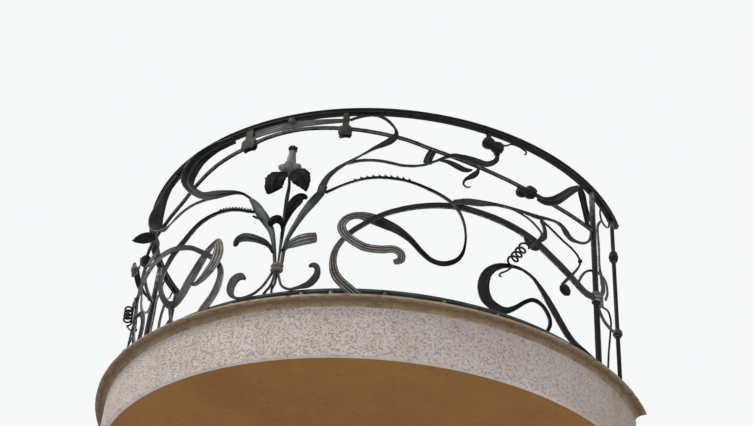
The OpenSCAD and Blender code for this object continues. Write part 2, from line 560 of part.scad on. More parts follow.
scroll_rows = [[1188, rail_top, 16], [1207, 118, 18], [1199, 158, 21], [1164, 191, 20],
    [1122, 198, 19], [1082, 176, 18], [1020, 120, 22], [978, rail_top + 22, 32],
    [936, rail_top + 24, 44], [902, 116, 54], [884, 152, 56], [883, 202, 50], [900, 250, 40],
    [936, 288, 31], [984, 312, 21], [1050, 323, 12], [1110, 308, 12], [1156, 272, 25],
    [1200, 226, 40], [1256, 166, 45], [1310, 116, 44], [1364, rail_top + 20, 32],
    [1430, rail_top + 14, 25], [1512, rail_top + 10, 18]];
module right_scroll() color(iron) forged(scroll_rows, ribbon_t, 2, reeded_section);
module left_scroll() color(iron) mirrored()
    forged(moved(scroll_rows, -90, 0), ribbon_t, 2, reeded_section);

// Shoulder leaf that leaves the upper rail by two knots, stands out and folds down

shoulder_rows = [[1128, 712, 40, 22], [1157, 708, 41, 32], [1191, 719, 40, 50], [1228, 744, 37, 62],
    [1273, 780, 33, 68], [1312, 812, 26, 68], [1338, 826, 24, 64], [1360, 822, 32, 56],
    [1388, 806, 42, 42], [1423, 788, 42, 27], [1450, 772, 34, 16], [1472, 764, 20, 12]];
knot_fit = 0.6;
module knot(s, side, up, r, l) {
    slope = atan((rail_at(side * (s + l)) - rail_at(side * (s - l))) / (2 * l));
    drawn(s, rail_at(side * s)) rotate([0, -slope, 0]) difference() {
        translate([-l / 2, 0, -up]) rotate([0, 90, 0]) rotate_extrude($fn = 32)
            polygon([[0, 0], [r * 0.75, 0], [r, l * 0.25], [r, l * 0.75], [r * 0.75, l], [0, l]]);
        cube([2 * l, sub_rail_w + knot_fit, sub_rail_w + knot_fit], center = true);
    }
}
module shoulder(side) {
    knot(1062, side, 24, 26, 40);
    knot(1106, side, 4, 30, 44);
    forged(shoulder_rows, ribbon_t);
}
module right_shoulder() color(iron) shoulder(1);
module left_shoulder() color(iron) mirrored() shoulder(-1);

slab_core();
fascia_band();
soffit_coat();
coping_ring();
floor_paving();
handrail();
upper_rail();
bottom_rail();
rail_feet();
left_wall_post();
right_wall_post();
left_newel();
right_newel();
left_newel_shoots();
right_newel_shoots();
iris_flower();
iris_falls();
iris_stem();
iris_leaves();
iris_collar();
iris_feet();
left_stem();
right_stem();
crest_strap();
crest_clasps();
left_crest();
right_crest();
left_wave();
right_wave();
bud();
left_whiplash();
right_whiplash();
left_barbs();
right_barbs();
left_vine();
right_vine();
left_branch();
right_branch();
left_tendril();
right_tendril();
left_scroll();
right_scroll();
left_shoulder();
right_shoulder();
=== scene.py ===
"""A half-round balcony on a rendered slab, with a forged railing of ribbons, vines and an iris.

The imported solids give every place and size. The handrail, bottom rail, feet, posts, newels, barbs
and clasps are shown as copies of their solids with eased edges. Every other bar is swept again from
its rows on the full-size drawing, with rounded ends, reeds or leaf ribs, and is worn as hammered iron
wears. The flower, the collar, the knots and the bud are turned. The slab's face gets its torn relief
and the coping its chips.
"""
import json
import math

import bpy
import numpy as np
from mathutils import Matrix, Vector, noise

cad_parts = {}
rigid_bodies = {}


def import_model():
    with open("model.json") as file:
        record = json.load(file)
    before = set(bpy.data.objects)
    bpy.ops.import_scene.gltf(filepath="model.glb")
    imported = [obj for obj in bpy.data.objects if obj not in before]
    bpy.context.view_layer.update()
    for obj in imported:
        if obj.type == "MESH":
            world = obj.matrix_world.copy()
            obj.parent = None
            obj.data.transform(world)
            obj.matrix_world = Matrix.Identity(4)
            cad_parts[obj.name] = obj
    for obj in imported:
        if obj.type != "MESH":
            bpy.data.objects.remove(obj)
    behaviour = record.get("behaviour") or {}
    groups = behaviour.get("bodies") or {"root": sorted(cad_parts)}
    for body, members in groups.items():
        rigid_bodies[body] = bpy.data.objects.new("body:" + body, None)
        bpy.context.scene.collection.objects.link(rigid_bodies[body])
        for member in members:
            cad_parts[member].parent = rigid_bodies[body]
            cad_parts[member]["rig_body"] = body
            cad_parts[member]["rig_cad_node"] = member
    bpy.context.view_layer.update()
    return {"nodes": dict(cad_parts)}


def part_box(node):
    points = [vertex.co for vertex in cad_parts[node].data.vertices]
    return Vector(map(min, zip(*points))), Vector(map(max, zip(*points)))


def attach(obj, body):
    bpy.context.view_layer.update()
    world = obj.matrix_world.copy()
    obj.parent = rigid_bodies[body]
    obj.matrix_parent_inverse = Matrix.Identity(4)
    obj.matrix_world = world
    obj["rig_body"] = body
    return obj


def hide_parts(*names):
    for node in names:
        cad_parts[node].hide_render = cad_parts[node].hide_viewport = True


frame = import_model()

PHOTO_WIDTH = 753
FOCAL_PX = 1265.6
SENSOR = 36.0
CAMERA_PLACE = (2.0880, -4.8740, -2.4832)
CAMERA_YAW = -0.417
CAMERA_PITCH = 0.636
CAMERA_ROLL = 0.083

FASCIA_LOW, FASCIA_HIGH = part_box("fascia_band")
COPING_LOW, COPING_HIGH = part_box("coping_ring")
RAIL_LOW, RAIL_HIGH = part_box("handrail")
MM = 0.001
RAIL_INSET = 22 * MM
RAIL_RADIUS = RAIL_HIGH.x - RAIL_INSET  # the middle line of the railing
DECK = COPING_HIGH.z  # the top of the coping, from which the drawing's heights are measured
DRAWN_DEGREE = 20.5  # mm of the full-size drawing for one degree of the railing's turn


# Camera and stage

def aim_camera():
    """The camera stands in the street, low and to the right, and looks up."""
    forward = Vector((math.sin(CAMERA_YAW) * math.cos(CAMERA_PITCH),
                      math.cos(CAMERA_YAW) * math.cos(CAMERA_PITCH), math.sin(CAMERA_PITCH)))
    level = Vector((math.cos(CAMERA_YAW), -math.sin(CAMERA_YAW), 0))
    rise = level.cross(forward)
    right = math.cos(CAMERA_ROLL) * level + math.sin(CAMERA_ROLL) * rise
    up = math.cos(CAMERA_ROLL) * rise - math.sin(CAMERA_ROLL) * level
    data = bpy.data.cameras.new("street_camera")
    data.sensor_width = SENSOR
    data.lens = FOCAL_PX / PHOTO_WIDTH * SENSOR
    camera = bpy.data.objects.new("street_camera", data)
    bpy.context.scene.collection.objects.link(camera)
    turn = Matrix((right, up, -forward)).transposed()
    camera.matrix_world = Matrix.Translation(CAMERA_PLACE) @ turn.to_4x4()
    bpy.context.scene.camera = camera


def soft_lamp(name, place, target, size, power, colour=(1, 1, 1)):
    data = bpy.data.lights.new(name, "AREA")
    data.size = size
    data.energy = power
    data.color = colour
    lamp = bpy.data.objects.new(name, data)
    bpy.context.scene.collection.objects.link(lamp)
    lamp.location = place
    lamp.rotation_mode = "QUATERNION"
    lamp.rotation_quaternion = (Vector(target) - Vector(place)).to_track_quat("-Z", "Y")


FLOOR_SIZE, FLOOR_LEVEL = 60, -6
SKY_LOW, SKY_HIGH, SKY_STRENGTH = 0.30, (0.93, 0.96, 1.0), 0.85
BACKDROP = (0.93, 0.94, 0.95)


def make_sky(world):
    """Daylight that is brighter from above. What the camera and shiny iron see is a pale backdrop."""
    w = Wires(world.node_tree)
    w.nodes.clear()
    path = w.nodes.new("ShaderNodeLightPath").outputs
    seen = w.sums("MAXIMUM", path["Is Camera Ray"], path["Is Transmission Ray"])
    seen = w.sums("MAXIMUM", seen, path["Is Glossy Ray"])
    height = w.part(w.nodes.new("ShaderNodeTexCoord").outputs["Generated"], "Z")
    height = w.plus(w.times(height, 0.5), 0.5)
    day = w.nodes.new("ShaderNodeBackground")
    w.join(w.ramp(height, [(0.0, SKY_LOW), (1.0, SKY_HIGH)]), day.inputs["Color"])
    day.inputs["Strength"].default_value = SKY_STRENGTH
    pale = w.nodes.new("ShaderNodeBackground")
    pale.inputs["Color"].default_value = (*BACKDROP, 1)
    mix = w.nodes.new("ShaderNodeMixShader")
    for source, socket in zip((seen, day.outputs[0], pale.outputs[0]), mix.inputs):
        w.join(source, socket)
    w.join(mix.outputs[0], w.nodes.new("ShaderNodeOutputWorld").inputs[0])


def light_the_stage():
    """Even daylight, a soft key from the front left, two fills and a pale floor far below."""
    world = bpy.data.worlds.new("pale_daylight")
    bpy.context.scene.world = world
    world.use_nodes = True
    make_sky(world)
    bpy.ops.mesh.primitive_plane_add(size=FLOOR_SIZE, location=(0, 0, FLOOR_LEVEL))
    floor = bpy.context.object
    floor.name = "studio_floor"
    floor.data.materials.append(plain("floor_paint", (0.86, 0.86, 0.85), 0.8))
    middle = (0, -0.8, 0.5)
    soft_lamp("key_lamp", (-3.5, -6.0, 6.0), middle, 4.0, 420, (1.0, 0.98, 0.94))
    soft_lamp("low_fill", (4.0, -6.0, -3.0), middle, 5.0, 110, (0.95, 0.97, 1.0))
    soft_lamp("back_fill", (0.0, 6.0, 4.0), middle, 5.0, 140)


# Materials

def fresh(name, shine=0.2):
    """A new material with the calls that wire it, and its shader."""
    material = bpy.data.materials.new(name)
    material.use_nodes = True
    shader = material.node_tree.nodes["Principled BSDF"]
    shader.inputs["Specular IOR Level"].default_value = shine
    return material, Wires(material.node_tree), shader


def plain(name, colour, roughness):
    material, _, shader = fresh(name, shine=0.5)
    shader.inputs["Base Color"].default_value = (*colour, 1)
    shader.inputs["Roughness"].default_value = roughness
    return material


def group(name, inputs, outputs):
    """An empty node group with its sockets, by kind; gives the tree, its input and its output node."""
    tree = bpy.data.node_groups.new(name, "ShaderNodeTree")
    for way, sockets in (("INPUT", inputs), ("OUTPUT", outputs)):
        for kind, labels in sockets.items():
            for label in labels:
                tree.interface.new_socket(label, in_out=way, socket_type="NodeSocket" + kind)
    return tree, tree.nodes.new("NodeGroupInput"), tree.nodes.new("NodeGroupOutput")


class Wires:
    """Short calls for the nodes that every material here uses."""

    def __init__(self, tree):
        self.tree = tree
        self.nodes = tree.nodes
        self.links = tree.links

    def join(self, a, b):
        self.links.new(a, b)

    def give(self, socket, value):
        """Sets a socket to a number or a colour, or joins a node's output to it."""
        if isinstance(value, (int, float)):
            socket.default_value = value
        elif isinstance(value, tuple):
            socket.default_value = (*value, 1)
        else:
            self.join(value, socket)

    def place(self):
        return self.nodes.new("ShaderNodeTexCoord").outputs["Object"]

    def mark(self, name):
        """A value that the mesh carries at each of its points."""
        node = self.nodes.new("ShaderNodeAttribute")
        node.attribute_name = name
        return node.outputs["Fac"]

    def part(self, vector, axis):
        node = self.nodes.new("ShaderNodeSeparateXYZ")
        self.join(vector, node.inputs[0])
        return node.outputs[axis]

    def stretch(self, vector, scale):
        node = self.nodes.new("ShaderNodeMapping")
        node.inputs["Scale"].default_value = scale
        self.join(vector, node.inputs["Vector"])
        return node.outputs["Vector"]

    def noise(self, vector, scale, detail=4.0, rough=0.55, distortion=0.0):
        node = self.nodes.new("ShaderNodeTexNoise")
        for label, value in (("Scale", scale), ("Detail", detail), ("Roughness", rough),
                             ("Distortion", distortion)):
            node.inputs[label].default_value = value
        self.join(vector, node.inputs["Vector"])
        return node.outputs["Fac"]

    def sums(self, operation, a, b=0.0, clamp=False):
        node = self.nodes.new("ShaderNodeMath")
        node.operation = operation
        node.use_clamp = clamp
        self.give(node.inputs[0], a)
        self.give(node.inputs[1], b)
        return node.outputs[0]

    def times(self, a, b, clamp=False):
        return self.sums("MULTIPLY", a, b, clamp)

    def plus(self, a, b, clamp=False):
        return self.sums("ADD", a, b, clamp)

    def ramp(self, value, stops):
        """stops are (place, colour) with a grey or a colour; gives the ramp's colour."""
        node = self.nodes.new("ShaderNodeValToRGB")
        marks = node.color_ramp.elements
        while len(marks) < len(stops):
            marks.new(0.5)
        for mark, (at, colour) in zip(marks, stops):
            mark.position = at
            shade = (colour,) * 3 if isinstance(colour, (int, float)) else colour
            mark.color = (*shade, 1)
        self.join(value, node.inputs["Fac"])
        return node.outputs["Color"]

    def fade(self, value, low, high, end=1.0, start=0.0):
        """Goes from start to end while the value goes from low to high."""
        return self.ramp(value, [(low, start), (high, end)])

    def blend(self, share, a, b):
        node = self.nodes.new("ShaderNodeMix")
        node.data_type = "RGBA"
        for place, value in ((0, share), (6, a), (7, b)):
            self.give(node.inputs[place], value)
        return node.outputs[2]

    def bump(self, height, distance, strength=1.0):
        node = self.nodes.new("ShaderNodeBump")
        node.inputs["Distance"].default_value = distance
        node.inputs["Strength"].default_value = strength
        self.join(height, node.inputs["Height"])
        return node.outputs["Normal"]

    def use(self, tree, **values):
        node = self.nodes.new("ShaderNodeGroup")
        node.node_tree = tree
        for label, value in values.items():
            self.give(node.inputs[label.replace("_", " ")], value)
        return node.outputs


# How many marks of each kind go into a metre of iron
BLOTCHES, PATCHES, GRAINS, PITS, RUST_SPOTS = 11.0, 42.0, 190.0, 520.0, 23.0
# The grey laid on what faces up is dust and also painted top light, as if a sky above lit it.
RUST_BROWN, DUST_AND_TOP_LIGHT_GREY = (0.085, 0.045, 0.025), (0.085, 0.108, 0.105)
BARE_GREY, SUNK_BROWN = (0.33, 0.345, 0.34), (0.045, 0.028, 0.02)


def make_forge_marks():
    """Hammered, weathered iron: dark scale, a dusty grey that also paints top light on what faces up,
    streaks of painted sheen along the bars, pale rubbed reeds, worn edges, rust.
    """
    tree, given, out = group(
        "forge_marks",
        {"Vector": ("Vector",), "Color": ("Dark", "Body", "Worn", "Pale"),
         "Float": ("Edge", "Rubbed", "Faces up", "Streak", "Wear", "Rust", "Dust")},
        {"Color": ("Color",), "Float": ("Roughness", "Height", "Metal")})
    w, has = Wires(tree), given.outputs
    blotch = w.noise(has["Vector"], BLOTCHES, 5.0, 0.6)
    patch = w.noise(has["Vector"], PATCHES, 5.0, 0.68)
    grain = w.noise(has["Vector"], GRAINS, 4.0, 0.65)
    pits = w.noise(has["Vector"], PITS, 3.0, 0.6)
    spots = w.noise(has["Vector"], RUST_SPOTS, 6.0, 0.7)

    base = w.blend(w.fade(blotch, 0.36, 0.64), has["Dark"], has["Body"])
    rust = w.times(w.fade(spots, 0.54, 0.70), has["Rust"], True)
    base = w.blend(rust, base, RUST_BROWN)
    # Painted top light with dust: what faces up turns a paler grey, as a sky above would light it.
    dust_and_lit_top = w.times(w.fade(has["Faces up"], 0.15, 0.85), w.fade(patch, 0.40, 0.62, start=0.25))
    base = w.blend(w.times(dust_and_lit_top, has["Dust"]), base, DUST_AND_TOP_LIGHT_GREY)
    # Painted sheen: pale streaks along each bar in the worn shade, standing in for highlights.
    base = w.blend(w.fade(has["Streak"], 0.56, 0.74, 0.24), base, has["Worn"])

    ridge = w.fade(has["Edge"], 0.10, 0.42, start=0.35)
    sunk = w.fade(w.times(has["Edge"], -1.0), 0.02, 0.22)
    bare = w.times(ridge, w.fade(patch, 0.34, 0.58, start=0.45))
    bare = w.times(has["Rubbed"], bare, True)
    tint = w.blend(w.fade(blotch, 0.44, 0.58), has["Pale"], BARE_GREY)
    base = w.blend(bare, base, tint)
    shadow = w.times(sunk, w.times(has["Rubbed"], 0.9, True))
    base = w.blend(shadow, base, SUNK_BROWN)
    rim = w.times(w.fade(patch, 0.40, 0.60, start=0.15), has["Wear"])
    rim = w.times(w.fade(has["Edge"], 0.42, 0.9), rim, True)
    w.join(w.blend(rim, base, has["Worn"]), out.inputs["Color"])

    rough = w.plus(w.times(grain, 0.30), 0.30)
    rough = w.plus(rough, w.times(w.plus(rust, dust_and_lit_top), 0.18), True)
    w.join(rough, out.inputs["Roughness"])
    w.join(w.plus(w.times(grain, 0.6), w.times(pits, 0.3)), out.inputs["Height"])
    w.join(w.times(w.sums("MAXIMUM", rim, bare), 0.35), out.inputs["Metal"])
    return tree


FORGE_MARKS = make_forge_marks()
# The streaks of painted sheen that run along each bar.
SHEEN_STREAKS_ALONG, SHEEN_STREAKS_ACROSS = 9.0, 210.0  # in a metre of a bar
MARK_DEPTH = 0.9 * MM


def iron(name, dark, body, worn, pale, wear, rust, dust_and_top_light=0.34, shine=0.14):
    """One finish of iron. Its pieces carry how sharp and how rubbed each point is. The setting after the
    rust is how much dusty grey and painted top light go on what faces up.
    """
    material, w, shader = fresh(name, shine)
    up = w.part(w.nodes.new("ShaderNodeNewGeometry").outputs["Normal"], "Z")
    # The lanes of the painted sheen streaks, stretched along the bar.
    lane = w.nodes.new("ShaderNodeCombineXYZ")
    w.join(w.times(w.mark("along"), SHEEN_STREAKS_ALONG), lane.inputs[0])
    w.join(w.times(w.mark("across"), SHEEN_STREAKS_ACROSS), lane.inputs[1])
    marks = w.use(FORGE_MARKS, Vector=w.place(), Edge=w.mark("edge"), Rubbed=w.mark("rubbed"),
                  Streak=w.noise(lane.outputs[0], 1.0, 3.0, 0.6), Faces_up=up, Dark=dark, Body=body,
                  Worn=worn, Pale=pale, Wear=wear, Rust=rust, Dust=dust_and_top_light)
    w.join(marks["Color"], shader.inputs["Base Color"])
    w.join(marks["Roughness"], shader.inputs["Roughness"])
    w.join(marks["Metal"], shader.inputs["Metallic"])
    w.join(w.bump(marks["Height"], MARK_DEPTH), shader.inputs["Normal"])
    return material


def torn_render():
    """Rough render, stained and darker towards the back, with grooves in a browner shade."""
    material, w, shader = fresh("torn_render")
    here = w.place()
    fine = w.noise(here, 260.0, 5.0, 0.7)
    broad = w.noise(here, 5.0, 4.0, 0.6)
    patch = w.noise(here, 38.0, 4.0, 0.65)
    stain = w.noise(w.stretch(here, (6.0, 6.0, 1.0)), 1.6, 5.0, 0.6)
    colour = w.blend(w.fade(broad, 0.38, 0.66), (0.450, 0.375, 0.335), (0.520, 0.460, 0.425))
    colour = w.blend(w.fade(patch, 0.45, 0.70, 0.55), colour, (0.565, 0.505, 0.460))
    colour = w.blend(w.fade(fine, 0.35, 0.75, 0.45), colour, (0.64, 0.59, 0.55))
    colour = w.blend(w.fade(stain, 0.55, 0.8, 0.35), colour, (0.33, 0.27, 0.23))
    wander = w.times(w.sums("SUBTRACT", patch, 0.5), 0.9)
    from_back = w.times(w.plus(w.part(here, "Y"), wander), -1.0)
    colour = w.blend(w.fade(from_back, 0.15, 0.75, 0.0, start=0.45), colour, (0.27, 0.215, 0.165))
    groove = w.fade(w.mark("groove"), 0.06, 0.75, 0.60)
    w.join(w.blend(groove, colour, (0.245, 0.195, 0.155)), shader.inputs["Base Color"])
    shader.inputs["Roughness"].default_value = 0.93
    w.join(w.bump(fine, 0.9 * MM, 0.8), shader.inputs["Normal"])
    return material


def stone(name, shades, scale, roughness, depth):
    """Worn stone or mortar: two mottled shades, dark pores and a fine rough face."""
    material, w, shader = fresh(name)
    here = w.place()
    broad = w.noise(here, scale, 6.0, 0.62, 0.3)
    fine = w.noise(here, scale * 28, 5.0, 0.7)
    pores = w.noise(here, scale * 11, 4.0, 0.75)
    colour = w.blend(w.fade(broad, 0.36, 0.64), shades[0], shades[1])
    colour = w.blend(w.fade(pores, 0.56, 0.72, 0.8), colour, shades[2])
    colour = w.blend(w.fade(fine, 0.45, 0.85, 0.55), colour, shades[3])
    w.join(colour, shader.inputs["Base Color"])
    shader.inputs["Roughness"].default_value = roughness
    height = w.plus(w.times(fine, 0.6), pores)
    w.join(w.bump(height, depth * MM), shader.inputs["Normal"])
    return material


# The coping's shades by height, from the foot of its cove up to the worn top of its nose. They paint light
# and shade: painted shade that deepens up the cove to a dark painted shadow under the nose, and a pale nose
# painted as lit
COPING_LIGHT_AND_SHADE_BANDS = [(0.02, (0.392, 0.299, 0.206)), (0.14, (0.301, 0.215, 0.133)),
                (0.34, (0.238, 0.163, 0.094)), (0.50, (0.164, 0.107, 0.059)),
                (0.57, (0.105, 0.068, 0.038)), (0.64, (0.329, 0.240, 0.156)),
                (0.86, (0.392, 0.299, 0.206)), (1.0, (0.280, 0.195, 0.124))]


def tan_stone():
    """The coping, painted by height with light and shade: a pale worn nose painted as lit, a dark painted
    shadow line under it, and a mottled, stained cove in painted shade.
    """
    material, w, shader = fresh("tan_stone")
    here = w.place()
    mottle = w.noise(here, 26.0, 5.0, 0.7)
    fine = w.noise(here, 210.0, 5.0, 0.7)
    broad = w.noise(here, 5.0, 4.0, 0.6)
    level = w.sums("DIVIDE", w.sums("SUBTRACT", w.part(here, "Z"), COPING_LOW.z), DECK - COPING_LOW.z)
    level = w.plus(level, w.times(w.sums("SUBTRACT", mottle, 0.5), 0.22))
    # Painted light and shade by height: a paler nose, a dark painted shadow under it, the cove in painted
    # shade.
    colour = w.ramp(level, COPING_LIGHT_AND_SHADE_BANDS)
    colour = w.blend(w.fade(mottle, 0.50, 0.68, 0.6), colour, (0.133, 0.094, 0.050))
    colour = w.blend(w.fade(broad, 0.46, 0.62, 0.5), colour, (0.147, 0.098, 0.056))
    colour = w.blend(w.fade(fine, 0.50, 0.78, 0.5), colour, (0.462, 0.370, 0.271))
    w.join(w.blend(w.mark("groove"), colour, (0.119, 0.078, 0.044)), shader.inputs["Base Color"])
    shader.inputs["Roughness"].default_value = 0.86
    w.join(w.bump(w.plus(fine, mottle), 1.2 * MM), shader.inputs["Normal"])
    return material


# For each iron: dark, body, worn and pale shades, then how much wear and rust
IRONS = {
    "black_iron": ((0.0022, 0.0027, 0.0028), (0.0075, 0.0092, 0.0095), (0.27, 0.27, 0.255),
                   (0.40, 0.345, 0.31), 0.85, 0.16),
    "rubbed_iron": ((0.040, 0.036, 0.032), (0.11, 0.102, 0.090), (0.36, 0.34, 0.31),
                    (0.40, 0.33, 0.29), 0.85, 0.35),
    "brown_iron": ((0.007, 0.005, 0.004), (0.028, 0.019, 0.012), (0.13, 0.095, 0.065),
                   (0.20, 0.15, 0.11), 0.55, 0.5),
    "slate_iron": ((0.010, 0.013, 0.013), (0.058, 0.072, 0.068), (0.26, 0.28, 0.27),
                   (0.30, 0.33, 0.34), 0.6, 0.15),
    "grey_iron": ((0.040, 0.035, 0.029), (0.130, 0.120, 0.104), (0.30, 0.285, 0.255),
                  (0.27, 0.25, 0.22), 0.5, 0.6),
    "strap_iron": ((0.030, 0.034, 0.030), (0.10, 0.108, 0.095), (0.26, 0.27, 0.24),
                   (0.24, 0.25, 0.22), 0.5, 0.3),
}
# For each plain coat: its four shades, then the scale of its mottles, its roughness and relief in mm
COATS = {
    "ochre_coat": ([(0.209, 0.096, 0.028), (0.254, 0.120, 0.037), (0.169, 0.077, 0.022),
                    (0.294, 0.146, 0.050)], 2.2, 0.95, 0.8),
    "paving": ([(0.40, 0.37, 0.33), (0.50, 0.47, 0.42), (0.28, 0.26, 0.23), (0.60, 0.57, 0.52)],
               4.0, 0.88, 0.8),
    "mortar": ([(0.42, 0.40, 0.36), (0.52, 0.49, 0.45), (0.30, 0.28, 0.25), (0.60, 0.58, 0.54)],
               6.0, 0.95, 2.0),
}
FINISH = {name: iron(name, *shades) for name, shades in IRONS.items()}
# These blacks take almost no dusty grey or painted top light, and little shine.
FINISH["black_leaf"] = iron("black_leaf", (0.0012, 0.0013, 0.0013), (0.0030, 0.0034, 0.0034),
                            (0.10, 0.10, 0.10), (0.3, 0.3, 0.3), 0.25, 0.06, dust_and_top_light=0.02, shine=0.03)
FINISH.update({name: stone(name, *coat) for name, coat in COATS.items()})
FINISH["torn_render"] = torn_render()
FINISH["tan_stone"] = tan_stone()


# Work on meshes

WELD = 0.02 * MM
EASE_WIDTH, EASE_ANGLE = 1 * MM, 28
SMOOTH_BAR, SMOOTH_SOLID = 50, 40  # faces that turn by less than these degrees look smooth


def take(piece):
    """Makes a piece the only one selected, and active."""
    bpy.ops.object.select_all(action="DESELECT")
    piece.select_set(True)
    bpy.context.view_layer.objects.active = piece


def edit_all(*steps):
    """Runs edit-mode steps on the active piece, each with its whole mesh selected."""
    bpy.ops.object.mode_set(mode="EDIT")
    for step, settings in steps:
        bpy.ops.mesh.select_all(action="SELECT")
        step(**settings)
    bpy.ops.object.mode_set(mode="OBJECT")


def finish(piece, coat, turn=None):
    """Smooths what turns by less than the angle, paints the piece and seats it on the balcony."""
    if turn is not None:
        take(piece)
        bpy.ops.object.shade_smooth_by_angle(angle=math.radians(turn))
    piece.data.materials.clear()
    piece.data.materials.append(FINISH[coat])
    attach(piece, "root")


def copy_of(node, name):
    """A welded copy of a solid, with its flat stretches as quads, that stands for the solid."""
    take(frame["nodes"][node])
    bpy.ops.object.duplicate()
    piece = bpy.context.object
    piece.name = piece.data.name = name
    piece.parent = None
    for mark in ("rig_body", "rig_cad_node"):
        del piece[mark]
    flat = math.radians(60)
    edit_all((bpy.ops.mesh.remove_doubles, {"threshold": WELD}),
             (bpy.ops.mesh.tris_convert_to_quads, {"face_threshold": flat, "shape_threshold": flat}))
    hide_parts(node)
    return piece


def smooth_step(low, high, value):
    share = min(max((value - low) / (high - low), 0.0), 1.0)
    return share * share * (3 - 2 * share)


def bent(s, z, off=0.0):
    """A point of the full-size drawing, in mm along the rail, up and outwards, on the railing."""
    turn = math.radians(s / DRAWN_DEGREE)
    reach = RAIL_RADIUS + off * MM
    return Vector((reach * math.sin(turn), -reach * math.cos(turn), DECK + z * MM))


def points_of(mesh):
    """The places and outward normals of a mesh's points, as two tables."""
    count = len(mesh.vertices)
    place, normal = np.empty(count * 3, np.float32), np.empty(count * 3, np.float32)
    mesh.vertices.foreach_get("co", place)
    mesh.vertex_normals.foreach_get("vector", normal)
    return place.reshape(-1, 3), normal.reshape(-1, 3)


def store(mesh, name, values):
    mark = mesh.attributes.new(name, "FLOAT", "POINT")
    mark.data.foreach_set("value", np.asarray(values, np.float32))


EDGE_REACH = 2 * MM


def mark_edges(mesh):
    """Stores how sharply the surface turns at each point: above 0 on edges, below 0 in grooves."""
    place, normal = points_of(mesh)
    ends = np.empty(len(mesh.edges) * 2, np.int32)
    mesh.edges.foreach_get("vertices", ends)
    a, b = ends.reshape(-1, 2).T
    gap = place[b] - place[a]
    span = (gap ** 2).sum(1) + 1e-12
    count = np.bincount(a, minlength=len(place)) + np.bincount(b, minlength=len(place))
    count = np.maximum(count, 1)
    turn = np.bincount(a, -2 * (gap * normal[a]).sum(1) / span, len(place))
    turn += np.bincount(b, 2 * (gap * normal[b]).sum(1) / span, len(place))
    turn /= count
    near = np.bincount(a, turn[b], len(place)) + np.bincount(b, turn[a], len(place))
    turn = 0.6 * turn + 0.4 * near / count
    store(mesh, "edge", np.clip(turn * EDGE_REACH, -1, 1))


def mark_rubbed(mesh, level=0.0, spots=()):
    """Stores how rubbed each point is: the level all over, and more around each spot of the drawing."""
    place = points_of(mesh)[0]
    rubbed = np.full(len(place), level, np.float32)
    for s, z, reach, amount in spots:
        away = np.sqrt(((place - np.array(bent(s, z), np.float32)) ** 2).sum(1)) / (reach * MM)
        rubbed = np.maximum(rubbed, amount * np.clip(1.6 * (1 - away), 0, 1))
    store(mesh, "rubbed", rubbed)


HAMMER_PITCH = 14 * MM


def hammer(mesh, depth):
    """Moves each point in or out a little, as hammered bars are uneven."""
    place, normal = points_of(mesh)
    lift = np.array([noise.noise(Vector(p) / HAMMER_PITCH) for p in place], np.float32)
    mesh.vertices.foreach_set("co", (place + normal * (lift * depth * MM)[:, None]).ravel())
    mesh.update()


# Forged bars, swept along the drawn rows

def outline(back, face):
    """A bar's section: each point's share of the width and thickness, its edge, and its reed."""
    return np.array([(u, v, e, 0, 0) for u, v, e in back] + list(face), float)


SIDE_IN = [(-0.50, 0.0, 1.0), (-0.492, -0.25, 0.9), (-0.455, -0.44, 0.45), (-0.38, -0.5, 0.05),
           (-0.13, -0.5, 0.0), (0.13, -0.5, 0.0), (0.38, -0.5, 0.05), (0.455, -0.44, 0.45),
           (0.492, -0.25, 0.9), (0.50, 0.0, 1.0)]
FACE_STEPS = 18


def reeds(depth, crest):
    """The outward face of a reeded bar. The last two values act by the row's depth of reeds."""
    face = [(0.492, 0.25, 0.9, 0, 0), (0.455, 0.42, 0.5, 0, 0)]
    for i in range(FACE_STEPS + 1):
        u = 0.42 - 0.84 * i / FACE_STEPS
        wave = math.cos(3 * math.pi * u / 0.45)
        face.append((u, 0.5, 0.02, (crest - depth) / 2 + (crest + depth) / 2 * wave, 0.55 * wave - 0.15))
    return face + [(-0.455, 0.42, 0.5, 0, 0), (-0.492, 0.25, 0.9, 0, 0)]


def leaf_face():
    """The outward face of a leaf: a raised rib down the middle and fine veins beside it."""
    face = [(0.49, 0.2, 0.9, 0, 0)]
    for i in range(FACE_STEPS + 1):
        u = 0.44 - 0.88 * i / FACE_STEPS
        rib = math.exp(-(u / 0.06) ** 2)
        vein = math.cos(2 * math.pi * u * 8.2)
        face.append((u, 0.32 + 0.55 * rib + 0.10 * vein, 0.6 * rib + 0.18 * vein, 0, 0))
    return face + [(-0.49, 0.2, 0.9, 0, 0)]


ROUND = [(0.5 * math.cos(math.radians(a)), 0.5 * math.sin(math.radians(a)), 0.0)
         for a in range(180, 540, 20)]
FLAT_FACE = [(u, -v, e, 0, 0) for u, v, e in SIDE_IN[8:0:-1]]
SECTION = {
    "strap": outline(SIDE_IN, FLAT_FACE),
    "bar": outline(ROUND, []),
    "square": outline([(-0.5, -0.40, 0.8), (-0.40, -0.5, 0.8), (0.0, -0.5, 0.0), (0.40, -0.5, 0.8),
                       (0.5, -0.40, 0.8), (0.5, 0.0, 0.0), (0.5, 0.40, 0.8), (0.40, 0.5, 0.8),
                       (0.0, 0.5, 0.0), (-0.40, 0.5, 0.8), (-0.5, 0.40, 0.8), (-0.5, 0.0, 0.0)], []),
    "reeded": outline(SIDE_IN, reeds(0.5, 0.12)),
    "foot": outline(SIDE_IN, reeds(0.5, 0.08)),
    "leaf": outline(SIDE_IN, leaf_face()),
}
RIBBON, VINE, LEAF = 9, 14, 6  # thicknesses in mm


